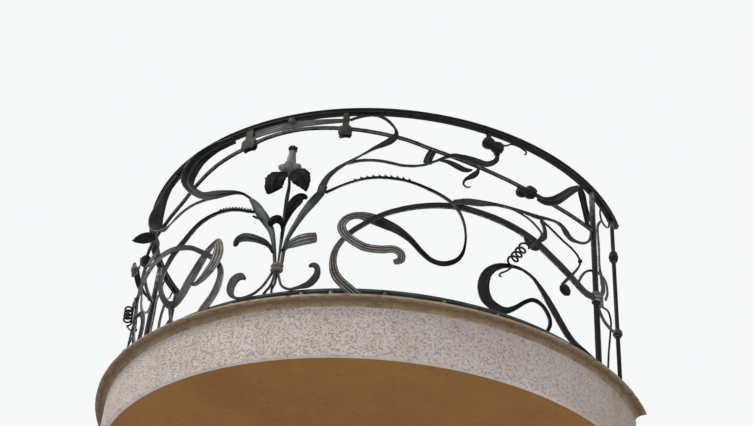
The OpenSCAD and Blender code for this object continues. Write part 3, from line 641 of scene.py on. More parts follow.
def smooth_rows(rows, pitch=5.0):
    """A smooth curve through the drawn rows, with a step about every 5 mm."""
    full = np.array([list(r) + [0] * (6 - len(r)) for r in rows], float)
    ends = np.vstack([full[:1], full, full[-1:]])
    out = []
    for i in range(len(full) - 1):
        a, b, c, d = ends[i:i + 4]
        count = max(2, round(math.hypot(*(c - b)[:2]) / pitch))
        for t in np.arange(count) / count:
            out.append(0.5 * (2 * b + (c - a) * t + (2 * a - 5 * b + 4 * c - d) * t * t
                              + (3 * b - a - 3 * c + d) * t ** 3))
    return np.array(out + [full[-1]])


def skin(name, rings, marks):
    """A closed skin over rings of equal point counts. It starts as a grid, is rolled up by its points
    and is closed along its seam and at both ends."""
    count, around = rings.shape[:2]
    bpy.ops.object.select_all(action="DESELECT")
    bpy.ops.mesh.primitive_grid_add(x_subdivisions=around, y_subdivisions=count - 1, size=1)
    piece = bpy.context.object
    piece.name = piece.data.name = name
    mesh = piece.data
    flat = points_of(mesh)[0]
    column = np.rint((flat[:, 0] + 0.5) * around).astype(int) % around
    ring = np.rint((flat[:, 1] + 0.5) * (count - 1)).astype(int)
    mesh.vertices.foreach_set("co", rings[ring, column].astype(np.float32).ravel())
    for label, values in marks.items():
        store(mesh, label, values[ring, column])
    mesh.update()
    edit_all((bpy.ops.mesh.remove_doubles, {"threshold": 0.01 * MM}),
             (bpy.ops.mesh.fill_holes, {"sides": 0}),
             (bpy.ops.mesh.normals_make_consistent, {"inside": False}))
    return piece


THINS = 0.12  # how much thinner a bar gets for each mm that it is wider than thick
END_ROUND, END_WIDTH = 0.35, 0.55
UNEVEN_WIDTH, UNEVEN_PITCH = 0.035, 45
TEAR_PITCH, TEAR_START = 11, 30
WAVE_PITCH, WAVE_WIDTH = 8.5, 40


def rounded_ends(along, deep):
    """The share of its width that a bar keeps along its length, as its ends are hammered round."""
    from_end = np.minimum(along, along[-1] - along)
    reach = END_ROUND * deep
    share = np.sqrt(np.clip(1 - (1 - from_end / reach) ** 2, 0, 1))
    return np.where(from_end > reach, 1, np.maximum(share, END_WIDTH))


def torn_rims(u, v, along, width, reach, seed, fray, ruffle):
    """A bar's section points after its rims are torn a little and waved in and out."""
    rim = (2 * np.abs(reach)) ** 3
    for i, at in enumerate(along):
        for k, side in enumerate(np.sign(reach)):
            tear = noise.noise(Vector((at / TEAR_PITCH, 3 * side, seed)))
            u[i, k] *= 1 + fray * rim[k] * tear * min(1, at / TEAR_START)
    wave = np.sin(along / WAVE_PITCH)[:, None] * rim * np.sign(reach)
    return u, v + ruffle * wave * np.clip(width / WAVE_WIDTH, 0, 1)[:, None]


def forge(rows, thick, section="strap", fray=0.0, ruffle=0.0, side=1):
    """One bar, hammered from its drawn rows. side is -1 for a bar on the other side of the drawing."""
    shape = SECTION[section]
    line = smooth_rows(rows)
    step = np.gradient(line[:, :2], axis=0)
    head = step / np.maximum(np.hypot(*step.T), 0.001)[:, None]
    along = np.concatenate([[0], np.cumsum(np.hypot(*np.diff(line[:, :2], axis=0).T))])
    width = line[:, 2].copy()
    seed = float(rows[0][0])
    for i, at in enumerate(along):
        width[i] *= 1 + UNEVEN_WIDTH * noise.noise(Vector((at / UNEVEN_PITCH, seed, 0)))
    deep = np.maximum(LEAF, thick - THINS * np.maximum(0, width - thick))
    share = rounded_ends(along, deep)
    u = shape[None, :, 0] * (width * share)[:, None]
    v = (shape[None, :, 1] + shape[None, :, 3] * line[:, 5:6]) * (deep * share)[:, None]
    if fray or ruffle:
        u, v = torn_rims(u, v, along, width, shape[:, 0], seed, fray, ruffle)
    lean = np.radians(line[:, 4])[:, None]
    across = u * np.cos(lean) - v * np.sin(lean)
    out = line[:, 3:4] + u * np.sin(lean) + v * np.cos(lean)
    turn = np.radians((line[:, 0:1] - head[:, 1:2] * across) / DRAWN_DEGREE)
    level = line[:, 1:2] + head[:, 0:1] * across
    reach = RAIL_RADIUS + out * MM
    rings = np.stack([side * reach * np.sin(turn), -reach * np.cos(turn), DECK + level * MM], axis=2)
    edge = shape[None, :, 2] + shape[None, :, 4] * line[:, 5:6]
    marks = {"edge": edge, "along": np.repeat(along[:, None], len(shape), 1) * MM, "across": u * MM}
    return skin("bar", rings, marks)


def drawn(s, z, off=0.0):
    """Where a piece stands on the drawing: outwards is its -Y, along the rail its X."""
    return (Matrix.Rotation(math.radians(s / DRAWN_DEGREE), 4, "Z")
            @ Matrix.Translation((0, -RAIL_RADIUS - off * MM, DECK + z * MM)))


def turned(profile, place, sides=32, lobes=0, lobe=0.0, side=1, edge=0.12):
    """A turned piece from radii and heights in mm, with lobes where they are given."""
    rings = np.empty((len(profile), sides, 3))
    for i, (r, h) in enumerate(profile):
        for k in range(sides):
            a = 2 * math.pi * k / sides
            reach = r * (1 - lobe * (0.5 - 0.5 * math.cos(lobes * a)))
            point = place @ (Vector((reach * math.cos(a), reach * math.sin(a), h)) * MM)
            rings[i, k] = (side * point.x, point.y, point.z)
    return skin("turned", rings, {"edge": np.full(rings.shape[:2], edge)})


def assemble(node, pieces, coat, level=0.0, spots=(), uneven=0.5, name=None):
    """Joins a node's pieces into one that stands for it."""
    bpy.ops.object.select_all(action="DESELECT")
    for piece in pieces:
        piece.select_set(True)
    bpy.context.view_layer.objects.active = pieces[0]
    if len(pieces) > 1:
        bpy.ops.object.join()
    piece = bpy.context.object
    piece.name = piece.data.name = name or node + "_forged"
    hammer(piece.data, uneven)
    mark_rubbed(piece.data, level, spots)
    finish(piece, coat, SMOOTH_BAR)
    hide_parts(node)


def ease(node, coat):
    """Shows a copy of a turned or moulded solid with its hard edges eased."""
    piece = copy_of(node, node + "_eased")
    take(piece)
    bevel = piece.modifiers.new("bevel", "BEVEL")
    bevel.width = EASE_WIDTH
    bevel.segments = 2
    bevel.limit_method = "ANGLE"
    bevel.angle_limit = math.radians(EASE_ANGLE)
    bpy.ops.object.modifier_apply(modifier=bevel.name)
    mark_edges(piece.data)
    mark_rubbed(piece.data)
    finish(piece, coat, SMOOTH_SOLID)


# The slab

# Sizes of the torn grooves, the gaps between them and the pits, in mm along and up the face
GROOVES, GAPS, FACE_PITS, WANDER = (11, 8), (13, 10), (5, 5), (24, 24)


def torn_depth(s, z):
    """How deep the render is torn at a point of its face, from 0 to 1."""
    bend = 0.9 * noise.noise(Vector((s / WANDER[0], z / WANDER[1], 9.0)))
    line = abs(noise.noise(Vector((s / GROOVES[0] + bend, z / GROOVES[1] - bend, 2.0))))
    kept = smooth_step(-0.22, 0.02, noise.noise(Vector((s / GAPS[0], z / GAPS[1], 5.0))))
    pit = smooth_step(0.40, 0.62, noise.noise(Vector((s / FACE_PITS[0], z / FACE_PITS[1], 7.0))))
    return max(smooth_step(0.17, 0.02, line) * kept, 0.5 * pit)


FACE_ROWS, FACE_COLUMNS = 92, 550  # in one third of the face
FACE_THICK = 20 * MM
GROOVE_DEPTH, SWELL_DEPTH, SWELL_PITCH = 2.6 * MM, 0.8 * MM, 60


def dress_fascia():
    """The rendered face: a fine half band in three parts, torn in short grooves."""
    outer, low, high = FASCIA_HIGH.x, FASCIA_LOW.z, FASCIA_HIGH.z
    third = math.pi / 3
    for part, name in enumerate(("left", "middle", "right")):
        bpy.ops.object.select_all(action="DESELECT")
        bpy.ops.mesh.primitive_plane_add(size=1, location=(-outer + FACE_THICK / 2, 0, (low + high) / 2),
                                         rotation=(math.pi / 2, 0, 0))
        piece = bpy.context.object
        piece.name = piece.data.name = "render_" + name
        piece.scale = (FACE_THICK, high - low, 1)
        bpy.ops.object.transform_apply(location=True, rotation=True, scale=True)
        bpy.ops.object.mode_set(mode="EDIT")
        bpy.ops.mesh.select_mode(type="EDGE")
        bpy.ops.mesh.select_all(action="DESELECT")
        bpy.ops.object.mode_set(mode="OBJECT")
        for edge in piece.data.edges:
            edge.select = all(piece.data.vertices[v].co.x < -outer + MM for v in edge.vertices)
        bpy.ops.object.mode_set(mode="EDIT")
        bpy.ops.mesh.subdivide(number_cuts=FACE_ROWS - 1)
        bpy.ops.object.mode_set(mode="OBJECT")
        edit_all((bpy.ops.mesh.spin, {"steps": FACE_COLUMNS, "angle": -third, "center": (0, 0, 0),
                                      "axis": (0, 0, 1)}),
                 (bpy.ops.mesh.normals_make_consistent, {"inside": False}))
        piece.data.transform(Matrix.Rotation(part * third, 4, "Z"))
        grooves = []
        for point in piece.data.vertices:
            x, y, z = point.co
            reach = math.hypot(x, y)
            depth = 0.0
            if reach > outer - MM:
                along = math.atan2(x, -y) * outer / MM
                depth = torn_depth(along, z / MM)
                swell = 0.5 + 0.5 * noise.noise(Vector((along, z / MM, SWELL_PITCH)) / SWELL_PITCH)
                kept = 1 - (GROOVE_DEPTH * depth + SWELL_DEPTH * swell) / reach
                point.co.x, point.co.y = x * kept, y * kept
            grooves.append(depth)
        store(piece.data, "groove", grooves)
        finish(piece, "torn_render")
        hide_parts("fascia_band")


CHIP_DEPTH, PIT_DEPTH, WEAR_DEPTH = 3.2 * MM, 1.3 * MM, 0.7 * MM
CHIP_PITCH, PIT_PITCH, WEAR_PITCH = 23 * MM, 9 * MM, 60 * MM
NOSE_REACH = 12 * MM


def dress_coping():
    """The coping: worn along its nose, chipped here and there and pitted in its cove."""
    piece = copy_of("coping_ring", "coping_worn")
    edit_all((bpy.ops.mesh.subdivide, {"number_cuts": 2}))
    mesh = piece.data
    place, normal = points_of(mesh)
    nose = COPING_HIGH.x
    dark = np.zeros(len(place))
    for i, point in enumerate(place):
        here = Vector(point)
        rim = smooth_step(nose - NOSE_REACH, nose, math.hypot(here.x, here.y))
        chip = smooth_step(0.30, 0.55, noise.noise(here / CHIP_PITCH)) * rim
        pit = smooth_step(0.34, 0.58, noise.noise(here / PIT_PITCH + Vector((5, 0, 0)))) * (1 - rim)
        wear = 0.5 + 0.5 * noise.noise(here / WEAR_PITCH)
        place[i] -= normal[i] * (CHIP_DEPTH * chip + PIT_DEPTH * pit + WEAR_DEPTH * wear)
        dark[i] = 0.75 * max(chip, pit)
    mesh.vertices.foreach_set("co", np.minimum(place, (9, 0, 9)).ravel())  # none past its flat back
    mesh.update()
    store(mesh, "groove", dark)
    finish(piece, "tan_stone", SMOOTH_SOLID)


def paint_plain_slab():
    for node, coat in (("soffit_coat", "ochre_coat"), ("floor_paving", "paving"), ("slab_core", "mortar")):
        solid = frame["nodes"][node]
        solid.data.materials.clear()
        solid.data.materials.append(FINISH[coat])


# The railing's full-size drawing, in mm. A row holds the place along the rail, the height and the
# width, and after them, where they aren't 0, the offset outwards, the lean in degrees and the reeds.

# The shoots that are tied to each newel
OVAL = [[1648, 980, 7], [1622, 938, 7], [1628, 896, 7], [1668, 884, 7], [1720, 908, 7], [1752, 980, 7]]
SPOON = [[1626, 882, 9], [1584, 820, 13], [1587, 715, 10], [1584, 640, 9], [1587, 590, 14], [1602, 560, 36],
    [1612, 526, 46], [1610, 490, 34], [1580, 440, 14]]
HOOP = [[1396, 400, 11, -10.6], [1412, 428, 11, -11], [1440, 474, 11, -14], [1490, 528, 11, -22],
    [1544, 566, 11, -22], [1600, 584, 11, -14], [1648, 564, 12, -2], [1662, 512, 12], [1634, 456, 12]]
LOW_SHOOT = [[1604, 400, 10], [1662, 412, 10], [1690, 374, 10], [1672, 300, 10], [1642, 190, 9],
    [1622, 74, 12]]
STRUT = [[1551.5, 378, 16], [1600, 336, 20], [1690, 334, 14], [1765.5, 364, 12]]

# The iris
IRIS_STEM = [[36, 214, 10], [36, 287, 12], [36, 340, 16], [37, 400, 19], [36, 480, 20], [37, 550, 19, 2],
    [40, 590, 16, 4], [40, 625, 13, 6], [36, 655, 13, 6]]
FALLS = [
    [[24, 673, 18, 22], [19, 660, 52, 38], [11, 642, 84, 52], [4, 618, 96, 60], [0, 591, 88, 60],
     [2, 568, 78, 58], [7, 551, 68, 54]],
    [[50, 668, 18, 19], [64, 652, 44, 36], [90, 630, 70, 51], [108, 606, 80, 58], [123, 579, 68, 58],
     [133, 552, 36, 56], [139, 528, 6, 54]],
]
LANCE = [[45, 398, 9, 7.4], [54, 436, 26, 13], [66, 474, 46, 17], [84, 508, 60, 18], [104, 529, 50, 17],
    [121, 531, 28, 14], [131, 521, 10, 13]]
SMALL_LEAF = [[38, 340, 8, 8], [37, 384, 10, 10], [31, 412, 20, 13], [14, 433, 42, 16], [-6, 428, 44, 18],
    [-17, 408, 24, 16]]
LEFT_LEAF = [[14, 266, 12, 16], [-6, 302, 18, 17], [-34, 327, 28, 20], [-70, 348, 34, 22],
    [-108, 363, 40, 25], [-140, 370, 44, 24], [-164, 364, 38, 20], [-172, 344, 34, 12, 20]]
RIGHT_LEAF = [[54, 262, 12, 16.8], [72, 284, 28, 19], [100, 297, 48, 20], [134, 307, 58, 22],
    [168, 311, 56, 22], [196, 315, 48, 20]]
FEET = [
    [[18, 176, 10, 6], [8, 146, 9, 11], [-14, 104, 9, 17], [-50, 78, 9, 17], [-98, 70, 9, 17],
     [-132, 80, 12, 17], [-154, 104, 26, 15], [-162, 140, 44, 12], [-152, 174, 52, 10],
     [-130, 184, 42, 8], [-112, 177, 22, 7], [-102, 166, 8, 6]],
    [[44, 176, 10, 6], [54, 140, 10, 9], [72, 98, 10, 16], [106, 77, 9, 17], [145, 82, 16, 17],
     [184, 96, 34, 15], [206, 128, 33, 12], [210, 162, 25, 8], [201, 184, 24, 7], [186, 191, 22, 6],
     [172, 184, 9, 5]],
    [[32, 176, 9, 10], [28, 138, 9, 10], [18, 108, 9, 8], [2, 92, 9, 5], [-14, 74, 10, 0]],
    [[34, 176, 8, -6], [31, 134, 8, -6], [25, 112, 8, -4], [22, 96, 8, -2], [24, 74, 10, -2]],
]

# The stems, and the crest under the handrail
RIGHT_STEM = [[54, 213, 14, 4], [55, 270, 16, 4], [62, 324, 19, 4], [78, 369, 23, 4], [98, 412, 29, 4],
    [120, 455, 35, 4], [146, 496, 43, 4], [167, 527, 44, 4], [186, 556, 38, 3], [197, 590, 31, 4]]
LEFT_STEM = [[24, 213, 14, 4], [18, 252, 16, 4], [10, 296, 18, 4], [0, 342, 22, 4], [-14, 388, 28, 4],
    [-33, 424, 35, 4], [-54, 459, 42, 4], [-78, 494, 43, 4], [-100, 529, 38, 4], [-121, 560, 28, 3],
    [-142, 585, 14, 4]]
TORN_LIP = [[-58, 450, 7, 14], [-84, 463, 11, 15], [-108, 480, 8, 14]]
CREST_BAR = [[-226, 952, 44], [-110, 954, 42], [12, 953, 38], [133, 947, 31], [276, 942, 20]]
RIGHT_CREST = [[186, 560, 36, 4], [190, 590, 34, 4], [208, 632, 27, 6], [240, 667, 20, 8],
    [276, 696, 14, 8], [320, 726, 8, 8], [356, 753, 8, 8], [394, 781, 16, 9], [428, 800, 28, 12],
    [456, 820, 34, 13], [476, 844, 28, 14], [481, 868, 17, 14], [473, 894, 10, 12], [452, 926, 12, 8],
    [426, 952, 13, 4], [390, 970, 11], [350, 969, 10], [306, 957, 11], [277, 944, 14]]
LEFT_CREST = [[-120, 562, 20, 2], [-146, 592, 12, 4], [-184, 625, 12, 5], [-226, 645, 19, 7],
    [-276, 658, 33, 9], [-330, 670, 45, 12], [-384, 687, 50, 15, 12], [-438, 714, 45, 19, 32],
    [-485, 754, 52, 27, 54], [-520, 799, 61, 37, 72], [-538, 850, 68, 33, 80], [-532, 905, 70, 24, 85],
    [-506, 942, 68, 18, 85], [-460, 958, 60, 14, 80], [-400, 967, 50, 10, 75], [-345, 968, 42, 6, 65],
    [-290, 968, 36, 2, 60]]

# The waves with their leaves, and the bars that carry the bud
RIGHT_WAVE = [[282, 704, 12], [340, 720, 12], [405, 722, 12], [465, 714, 12], [515, 705, 11],
    [565, 709, 10], [610, 723, 9], [650, 746, 9, 2], [690, 771, 13, 9], [728, 790, 21, 12],
    [766, 792, 31, 12], [806, 791, 36, 12], [846, 790, 38, 10], [880, 798, 30, 5]]
WAVE_LEAF = [[642, 804, 34], [628, 770, 36], [620, 730, 38]]
WAVE_UNDERLEAF = [[672, 757, 8, 3], [706, 758, 21, 4], [740, 748, 30, 4], [772, 737, 31, 4],
    [796, 737, 22, 4], [818, 746, 8, 4]]
WAVE_CURL = [[846, 767, 8, 4], [840, 740, 20, 4], [820, 714, 27, 4], [788, 684, 13, 4], [780, 658, 9, 4],
    [796, 646, 7, 4], [813, 654, 5, 4]]
BUD_STEM = [[908, 816, 26], [932, 844, 22], [934, 872, 20]]
BUD_HOOK = [[963.3, 938, 8], [980, 943, 8], [1009, 963, 7], [1052, 966, 7], [1082, 957, 7], [1085, 944, 6],
    [1074, 938, 5]]
LEFT_WAVE = [[336, 662, 11, 5.2], [384, 674, 11, 5], [440, 689, 11, 1], [508, 700, 11], [570, 700, 11, 1],
    [622, 692, 13, 3], [668, 672, 20, 10, -30], [704, 654, 36, 23, -60], [736, 660, 56, 37, -75],
    [762, 696, 66, 43, -82], [776, 745, 68, 43, -84], [786, 795, 60, 37, -84], [798, 850, 46, 26, -80],
    [806, 900, 36, 16, -74], [796, 940, 28, 8, -78], [764, 966, 24, 4, -84], [730, 975.4, 21, 2, -90],
    [706, 975.8, 20, 2, -90]]

# The whiplash ribbons
RIGHT_WHIPLASH = [[206, 548, 14, 8], [240, 570, 10, 4], [300, 602, 9], [380, 627, 10], [460, 633, 11],
    [550, 624, 11], [640, 596, 14], [700, 565, 15, 6], [745, 527, 15, 12], [782, 475, 11, 4], [798, 405, 9],
    [795, 345, 11], [782, 298, 17], [754, 262, 21], [708, 240, 24], [660, 246, 23], [618, 278, 24],
    [570, 330, 28], [516, 371, 40], [456, 406, 50, -9], [400, 430, 50, -11], [352, 438, 36, -6],
    [312, 418, 34, 6], [290, 380, 36, 12], [300, 340, 37, 12], [336, 304, 37, 10], [390, 275, 39, 4],
    [450, 270, 38], [505, 276, 35], [534, 258, 34], [536, 228, 32], [508, 214, 24]]
LEFT_WHIPLASH = [[-106, 504, 14, 8], [-146, 521, 11, 4], [-200, 547, 11], [-260, 565, 13], [-320, 573, 17],
    [-380, 571, 24], [-440, 562, 33, -3], [-500, 542, 42, -8], [-556, 518, 48, -11], [-610, 496, 53, -11],
    [-650, 466, 54, -11], [-671, 426, 46, -8], [-674, 381, 36, -4], [-660, 332, 33], [-634, 286, 32],
    [-598, 238, 30, -2], [-556, 200, 34, -6], [-512, 192, 50, -9], [-480, 220, 64, -11],
    [-450, 262, 68, -11], [-414, 310, 66, -11], [-380, 358, 56, -11], [-350, 395, 42, -11],
    [-316, 416, 32, -8], [-286, 408, 33, 5], [-267, 376, 48, 12], [-264, 336, 61, 12], [-272, 300, 60, 12],
    [-296, 268, 58, 11], [-326, 244, 48, 9], [-356, 232, 34, 6], [-382, 230, 20, 3], [-402, 236, 10, 2]]
LEFT_WHIP_LEGS = [
    [[-588, 214, 12], [-600, 150, 12], [-597, 74, 14]],
    [[-540, 182, 14], [-516, 116, 12], [-505, 74, 14]],
]

# The vines, their branches and the knot of the tendrils
VINE_TOP = [[384, 396, 22], [460, 447, 22], [560, 490, 24], [660, 519, 26], [760, 535, 28], [860, 534, 30],
    [950, 527, 32], [1040, 514, 34], [1130, 492, 37], [1220, 457, 39], [1310, 426, 40], [1390, 400, 40],
    [1450, 390, 36], [1516.5, 402, 28]]
RIGHT_VINE_FOOT = [[400, 0, 42, 18, 0, 1], [386, 24, 42, 18, 0, 1], [352, 58, 41, 18, 0, 1],
    [312, 98, 39, 15, 0, 1], [284, 138, 37, 9, 0, 1], [269, 190, 33, 2, 0, 0.9], [268, 240, 28, 0, 0, 0.5],
    [282, 286, 24], [320, 342, 22]]
LEFT_VINE_FOOT = [[318, 0, 43, 18, 0, 1], [308, 26, 43, 18, 0, 1], [291, 62, 43, 18, 0, 1],
    [268, 98, 42, 14, 0, 1], [250, 136, 41, 9, 0, 1], [241, 180, 37, 4, 0, 0.9], [240, 230, 30, 0, 0, 0.5],
    [254, 278, 25], [300, 332, 24]]
BRANCH = [[736, 550, 14, 10.4], [762, 556, 26, 9.4], [800, 567, 34, 9.2], [850, 578, 34, 7],
    [890, 591, 24, 3], [940, 604, 15], [1040, 616, 13], [1110, 623, 18], [1150, 629, 21], [1206, 646, 12],
    [1256, 656, 12], [1290, 652, 26], [1318, 634, 42], [1348, 619, 30], [1390, 624, 14], [1450, 650, 12],
    [1498, 696, 11], [1518, 758, 10]]
TWIG = [[1156, 618, 11, 6], [1216, 599, 11, 5], [1280, 573, 11, 7], [1334, 557, 11, 11],
    [1370, 540, 10, 14], [1390, 514, 10, 16], [1380, 481, 10, 16], [1346, 432, 12, 16], [1298, 372, 15, 14],
    [1266, 332, 13, 14]]
BRANCH_SHOOT = [[1160, 616, 15, 4], [1178, 580, 20, 6], [1177, 534, 22, 8.5], [1152, 500, 14, 10]]
TENDRIL_KNOT = [[1066, 496, 16, 10.3], [1084, 480, 48, 9.4], [1104, 465, 60, 9.4], [1124, 458, 48, 9.4],
    [1142, 454, 16, 10.3]]

# The scroll and the shoulder
SCROLL = [[1188, 74, 16], [1207, 118, 18], [1199, 158, 21], [1164, 191, 20], [1122, 198, 19],
    [1082, 176, 18], [1020, 120, 22], [978, 96, 32], [936, 98, 44], [902, 116, 54], [884, 152, 56],
    [883, 202, 50], [900, 250, 40], [936, 288, 31], [984, 312, 21], [1050, 323, 12], [1110, 308, 12],
    [1156, 272, 25], [1200, 226, 40], [1256, 166, 45], [1310, 116, 44], [1364, 94, 32], [1430, 88, 25],
    [1512, 84, 18]]
SHOULDER = [[1128, 712, 40, 22], [1157, 702, 45, 32], [1191, 708, 45, 50], [1228, 743, 41, 62],
    [1273, 796, 36, 68], [1312, 834, 29, 68], [1334, 848, 27, 66, 20], [1352, 842, 30, 62, 50],
    [1370, 814, 32, 58, 80], [1390, 788, 32, 50, 90], [1420, 768, 32, 38, 85], [1448, 761, 30, 24, 65],
    [1470, 758, 26, 12.5, 30], [1486, 758.5, 22, 10], [1502, 759, 18, 10]]

# The upper rail: along the rail and height
UPPER_LINE = [[-1524.5, 762], [-1400, 750], [-1240, 740], [-1080, 731], [-920, 725], [-780, 727],
    [-680, 744], [-600, 765], [-530, 800], [-420, 849], [-330, 874], [-220, 892], [-100, 914], [40, 920],
    [170, 910], [300, 892], [430, 867], [530, 845], [640, 812], [760, 788], [880, 769], [1030, 751],
    [1200, 740], [1360, 746], [1524.5, 762]]


def reeded(rows):
    """The rows with full reeds."""
    return [list(r) + [0] * (5 - len(r)) + [1] for r in rows]


def shift(rows, along, up):
    return [[row[0] + along, row[1] + up, *row[2:]] for row in rows]


# The tendril's corkscrew

COIL_FROM, COIL_TO = Vector((1056, 425)), Vector((985, 311))
COIL_TURNS, COIL_RADIUS, COIL_OFF, WIRE = 4, 18, 30, 9
COIL_AXIS = (COIL_TO - COIL_FROM).normalized()
COIL_BESIDE = Vector((-COIL_AXIS.y, COIL_AXIS.x))


def coil_end(place):
    """The row where a strap meets the corkscrew."""
    return [*(place + COIL_BESIDE * COIL_RADIUS), WIRE, COIL_OFF]


LEAD = [[962, 604, 6, 8.3], [1030, 602, 6, 6], [1092, 595, 7, 2], [1136, 574, 9, 2], [1156, 540, 11, 12],
    [1145, 506, 16, 17.8], [1122, 472, 18, 16.4], [1094, 440, 14, 22], coil_end(COIL_FROM)]
TAIL = [coil_end(COIL_TO), [988, 287, 8, 23], [971, 270, 8, 17], [952, 257, 8, 13], [946, 244, 8, 10],
    [958, 243, 7, 10]]


def corkscrew(side):
    """The tendril's wire, wound in four turns."""
    steps, sides = 40 * COIL_TURNS, 10
    rings = np.empty((steps + 1, sides, 3))
    for i in range(steps + 1):
        a = 2 * math.pi * COIL_TURNS * i / steps
        middle = COIL_FROM.lerp(COIL_TO, i / steps)
        for k in range(sides):
            b = 2 * math.pi * k / sides
            r = COIL_RADIUS + WIRE / 2 * math.cos(b)
            place = middle + COIL_BESIDE * (r * math.cos(a)) + COIL_AXIS * (WIRE / 2 * math.sin(b))
            point = bent(place.x, place.y, COIL_OFF + r * math.sin(a))
            rings[i, k] = (side * point.x, point.y, point.z)
    return skin("coil", rings, {"edge": np.full(rings.shape[:2], 0.1)})


# Turned and hammered pieces

def rail_level(s):
    """The height of the upper rail's middle."""
    line = smooth_rows([point + [0] for point in UPPER_LINE])
    return float(np.interp(s, line[:, 0], line[:, 1]))


def knot(s, side, up, r, length):
    """A faceted knot, hammered round the upper rail."""
    rise = rail_level(side * (s + length)) - rail_level(side * (s - length))
    slope = math.atan(rise / (2 * length))
    place = (drawn(s, rail_level(side * s)) @ Matrix.Rotation(-slope, 4, "Y")
             @ Matrix.Translation((-length / 2 * MM, 0, -up * MM)) @ Matrix.Rotation(math.pi / 2, 4, "Y"))
    shape = [(0, 0), (r * 0.72, 0), (r * 0.8, 1.5), (r, length * 0.27), (r, length * 0.73),
             (r * 0.8, length - 1.5), (r * 0.72, length), (0, length)]
    return turned(shape, place, sides=7, side=side, edge=0.25)


def crest_knob():
    """The knob between the crest's bar and the handrail."""
    foot = 958
    high = (RAIL_LOW.z - DECK) / MM - foot
    return turned([(0, 0), (9, 1), (18, high * 0.4), (18, high * 0.7), (12, high), (0, high)],
                  drawn(14, foot, LEAF))


def twig_ball(side):
    """The ball at the twig's bend."""
    return turned([(0, -10), (5, -9), (9, -4), (10, 0), (9, 4), (5, 9), (0, 10)], drawn(1390, 514, 16),
                  side=side)


def twig_drop(side):
    """The drop at the twig's end."""
    place = drawn(1262, 330, 14) @ Matrix.Rotation(math.radians(122), 4, "Y")
    return turned([(0, 0), (10, 2), (19, 14), (21, 28), (17, 45), (6, 56), (0, 57)], place, side=side)


POINTED_LEAF = [(0, 32), (30, 52), (60, 51), (88, 30), (108, 3)]  # its width along its length
LEAF_ARCH, LEAF_ARCH_PITCH = 7, 34


def pointed_leaf():
    """The leaf that points outwards from the left wave."""
    place = (drawn(862, 718, 7) @ Matrix.Rotation(math.radians(26), 4, "Z")
             @ Matrix.Rotation(math.radians(18), 4, "X") @ Matrix.Rotation(math.pi, 4, "Z")
             @ Matrix.Rotation(math.radians(-45), 4, "Y"))
    shape = SECTION["leaf"]
    length, steps = POINTED_LEAF[-1][0], 27
    rings = np.empty((steps + 1, len(shape), 3))
    for i in range(steps + 1):
        at = length * i / steps
        width = float(np.interp(at, *zip(*POINTED_LEAF)))
        arch = LEAF_ARCH * math.sin(at / LEAF_ARCH_PITCH)
        for k, (u, v) in enumerate(shape[:, :2]):
            point = place @ (Vector((u * width, at, v * LEAF + arch)) * MM)
            rings[i, k] = (-point.x, point.y, point.z)
    return skin("pointed_leaf", rings, {"edge": np.repeat(shape[None, :, 2], steps + 1, 0)})


COLUMN = [(0, 0), (7, 1), (12, 14), (22, 21), (32, 26), (42, 33), (50, 40), (53, 46), (52, 51), (46, 58),
    (34, 62), (26, 66), (22.5, 73), (20.5, 84), (19, 98), (17, 114), (15, 130), (14.5, 138), (15, 144),
    (0, 145)]
CROWN = [(0, 136), (14, 137), (17, 141), (20.5, 149), (21.5, 156), (19, 161), (13, 157), (0, 152)]
SKIRT_TOP, SKIRT_LOBES, FLUTES, TEETH = 70, 5, 12, 7
LOBE_DEPTH, LOBE_DROP, FLUTE_DEPTH, TOOTH_DEPTH = 0.13, 3.5, 0.035, 2.5
FLOWER_SIDES = 60


def dress_flower():
    """The iris: a fluted column with a ragged crown over a lobed skirt."""
    place = drawn(36, 655, 6)
    rings = np.empty((len(COLUMN), FLOWER_SIDES, 3))
    edge = np.empty((len(COLUMN), FLOWER_SIDES))
    for i, (r, h) in enumerate(COLUMN):
        skirt = smooth_step(20, 46, r) if h < SKIRT_TOP else 0.0
        top = smooth_step(132, 146, h)
        for k in range(FLOWER_SIDES):
            a = 2 * math.pi * k / FLOWER_SIDES
            lobe, flute = math.cos(SKIRT_LOBES * a + 0.6), math.cos(FLUTES * a)
            reach = r * (1 - LOBE_DEPTH * skirt * (1 - lobe))
            reach *= 1 - FLUTE_DEPTH * (1 - skirt) * (1 - flute)
            level = h - LOBE_DROP * skirt * (1 - lobe) - TOOTH_DEPTH * top * (1 - math.cos(TEETH * a))
            rings[i, k] = place @ (Vector((reach * math.cos(a), reach * math.sin(a), level)) * MM)
            edge[i, k] = 0.18 + 0.3 * flute * (1 - skirt) + 0.5 * skirt * max(lobe, 0)
    assemble("iris_flower", [skin("flower", rings, {"edge": edge})], "grey_iron", 0.4, uneven=1.1)
    crown = turned(CROWN, place, FLOWER_SIDES, lobes=TEETH, lobe=0.20)
    assemble("iris_flower", [crown], "black_iron", uneven=1.6, name="iris_crown")


COLLAR_ROLL = [(0, 0), (19, 0), (24, 2), (27, 6.5), (27, 11.5), (24, 16), (19, 18), (0, 18)]
COLLAR_LEVELS = (176, 195)


def dress_collar():
    """The two flattened rolls that tie the iris together."""
    flatten = Matrix.Diagonal((1, 0.74, 1, 1))
    rolls = [turned(COLLAR_ROLL, drawn(36, z, 5) @ flatten, 40) for z in COLLAR_LEVELS]
    assemble("iris_collar", rolls, "rubbed_iron", 0.55)


BUD_SIDE = [(0, 0), (12, 1), (24, 8), (29, 22), (27, 38), (22, 48), (26, 60), (30, 74), (26, 90), (12, 99),
    (0, 100)]


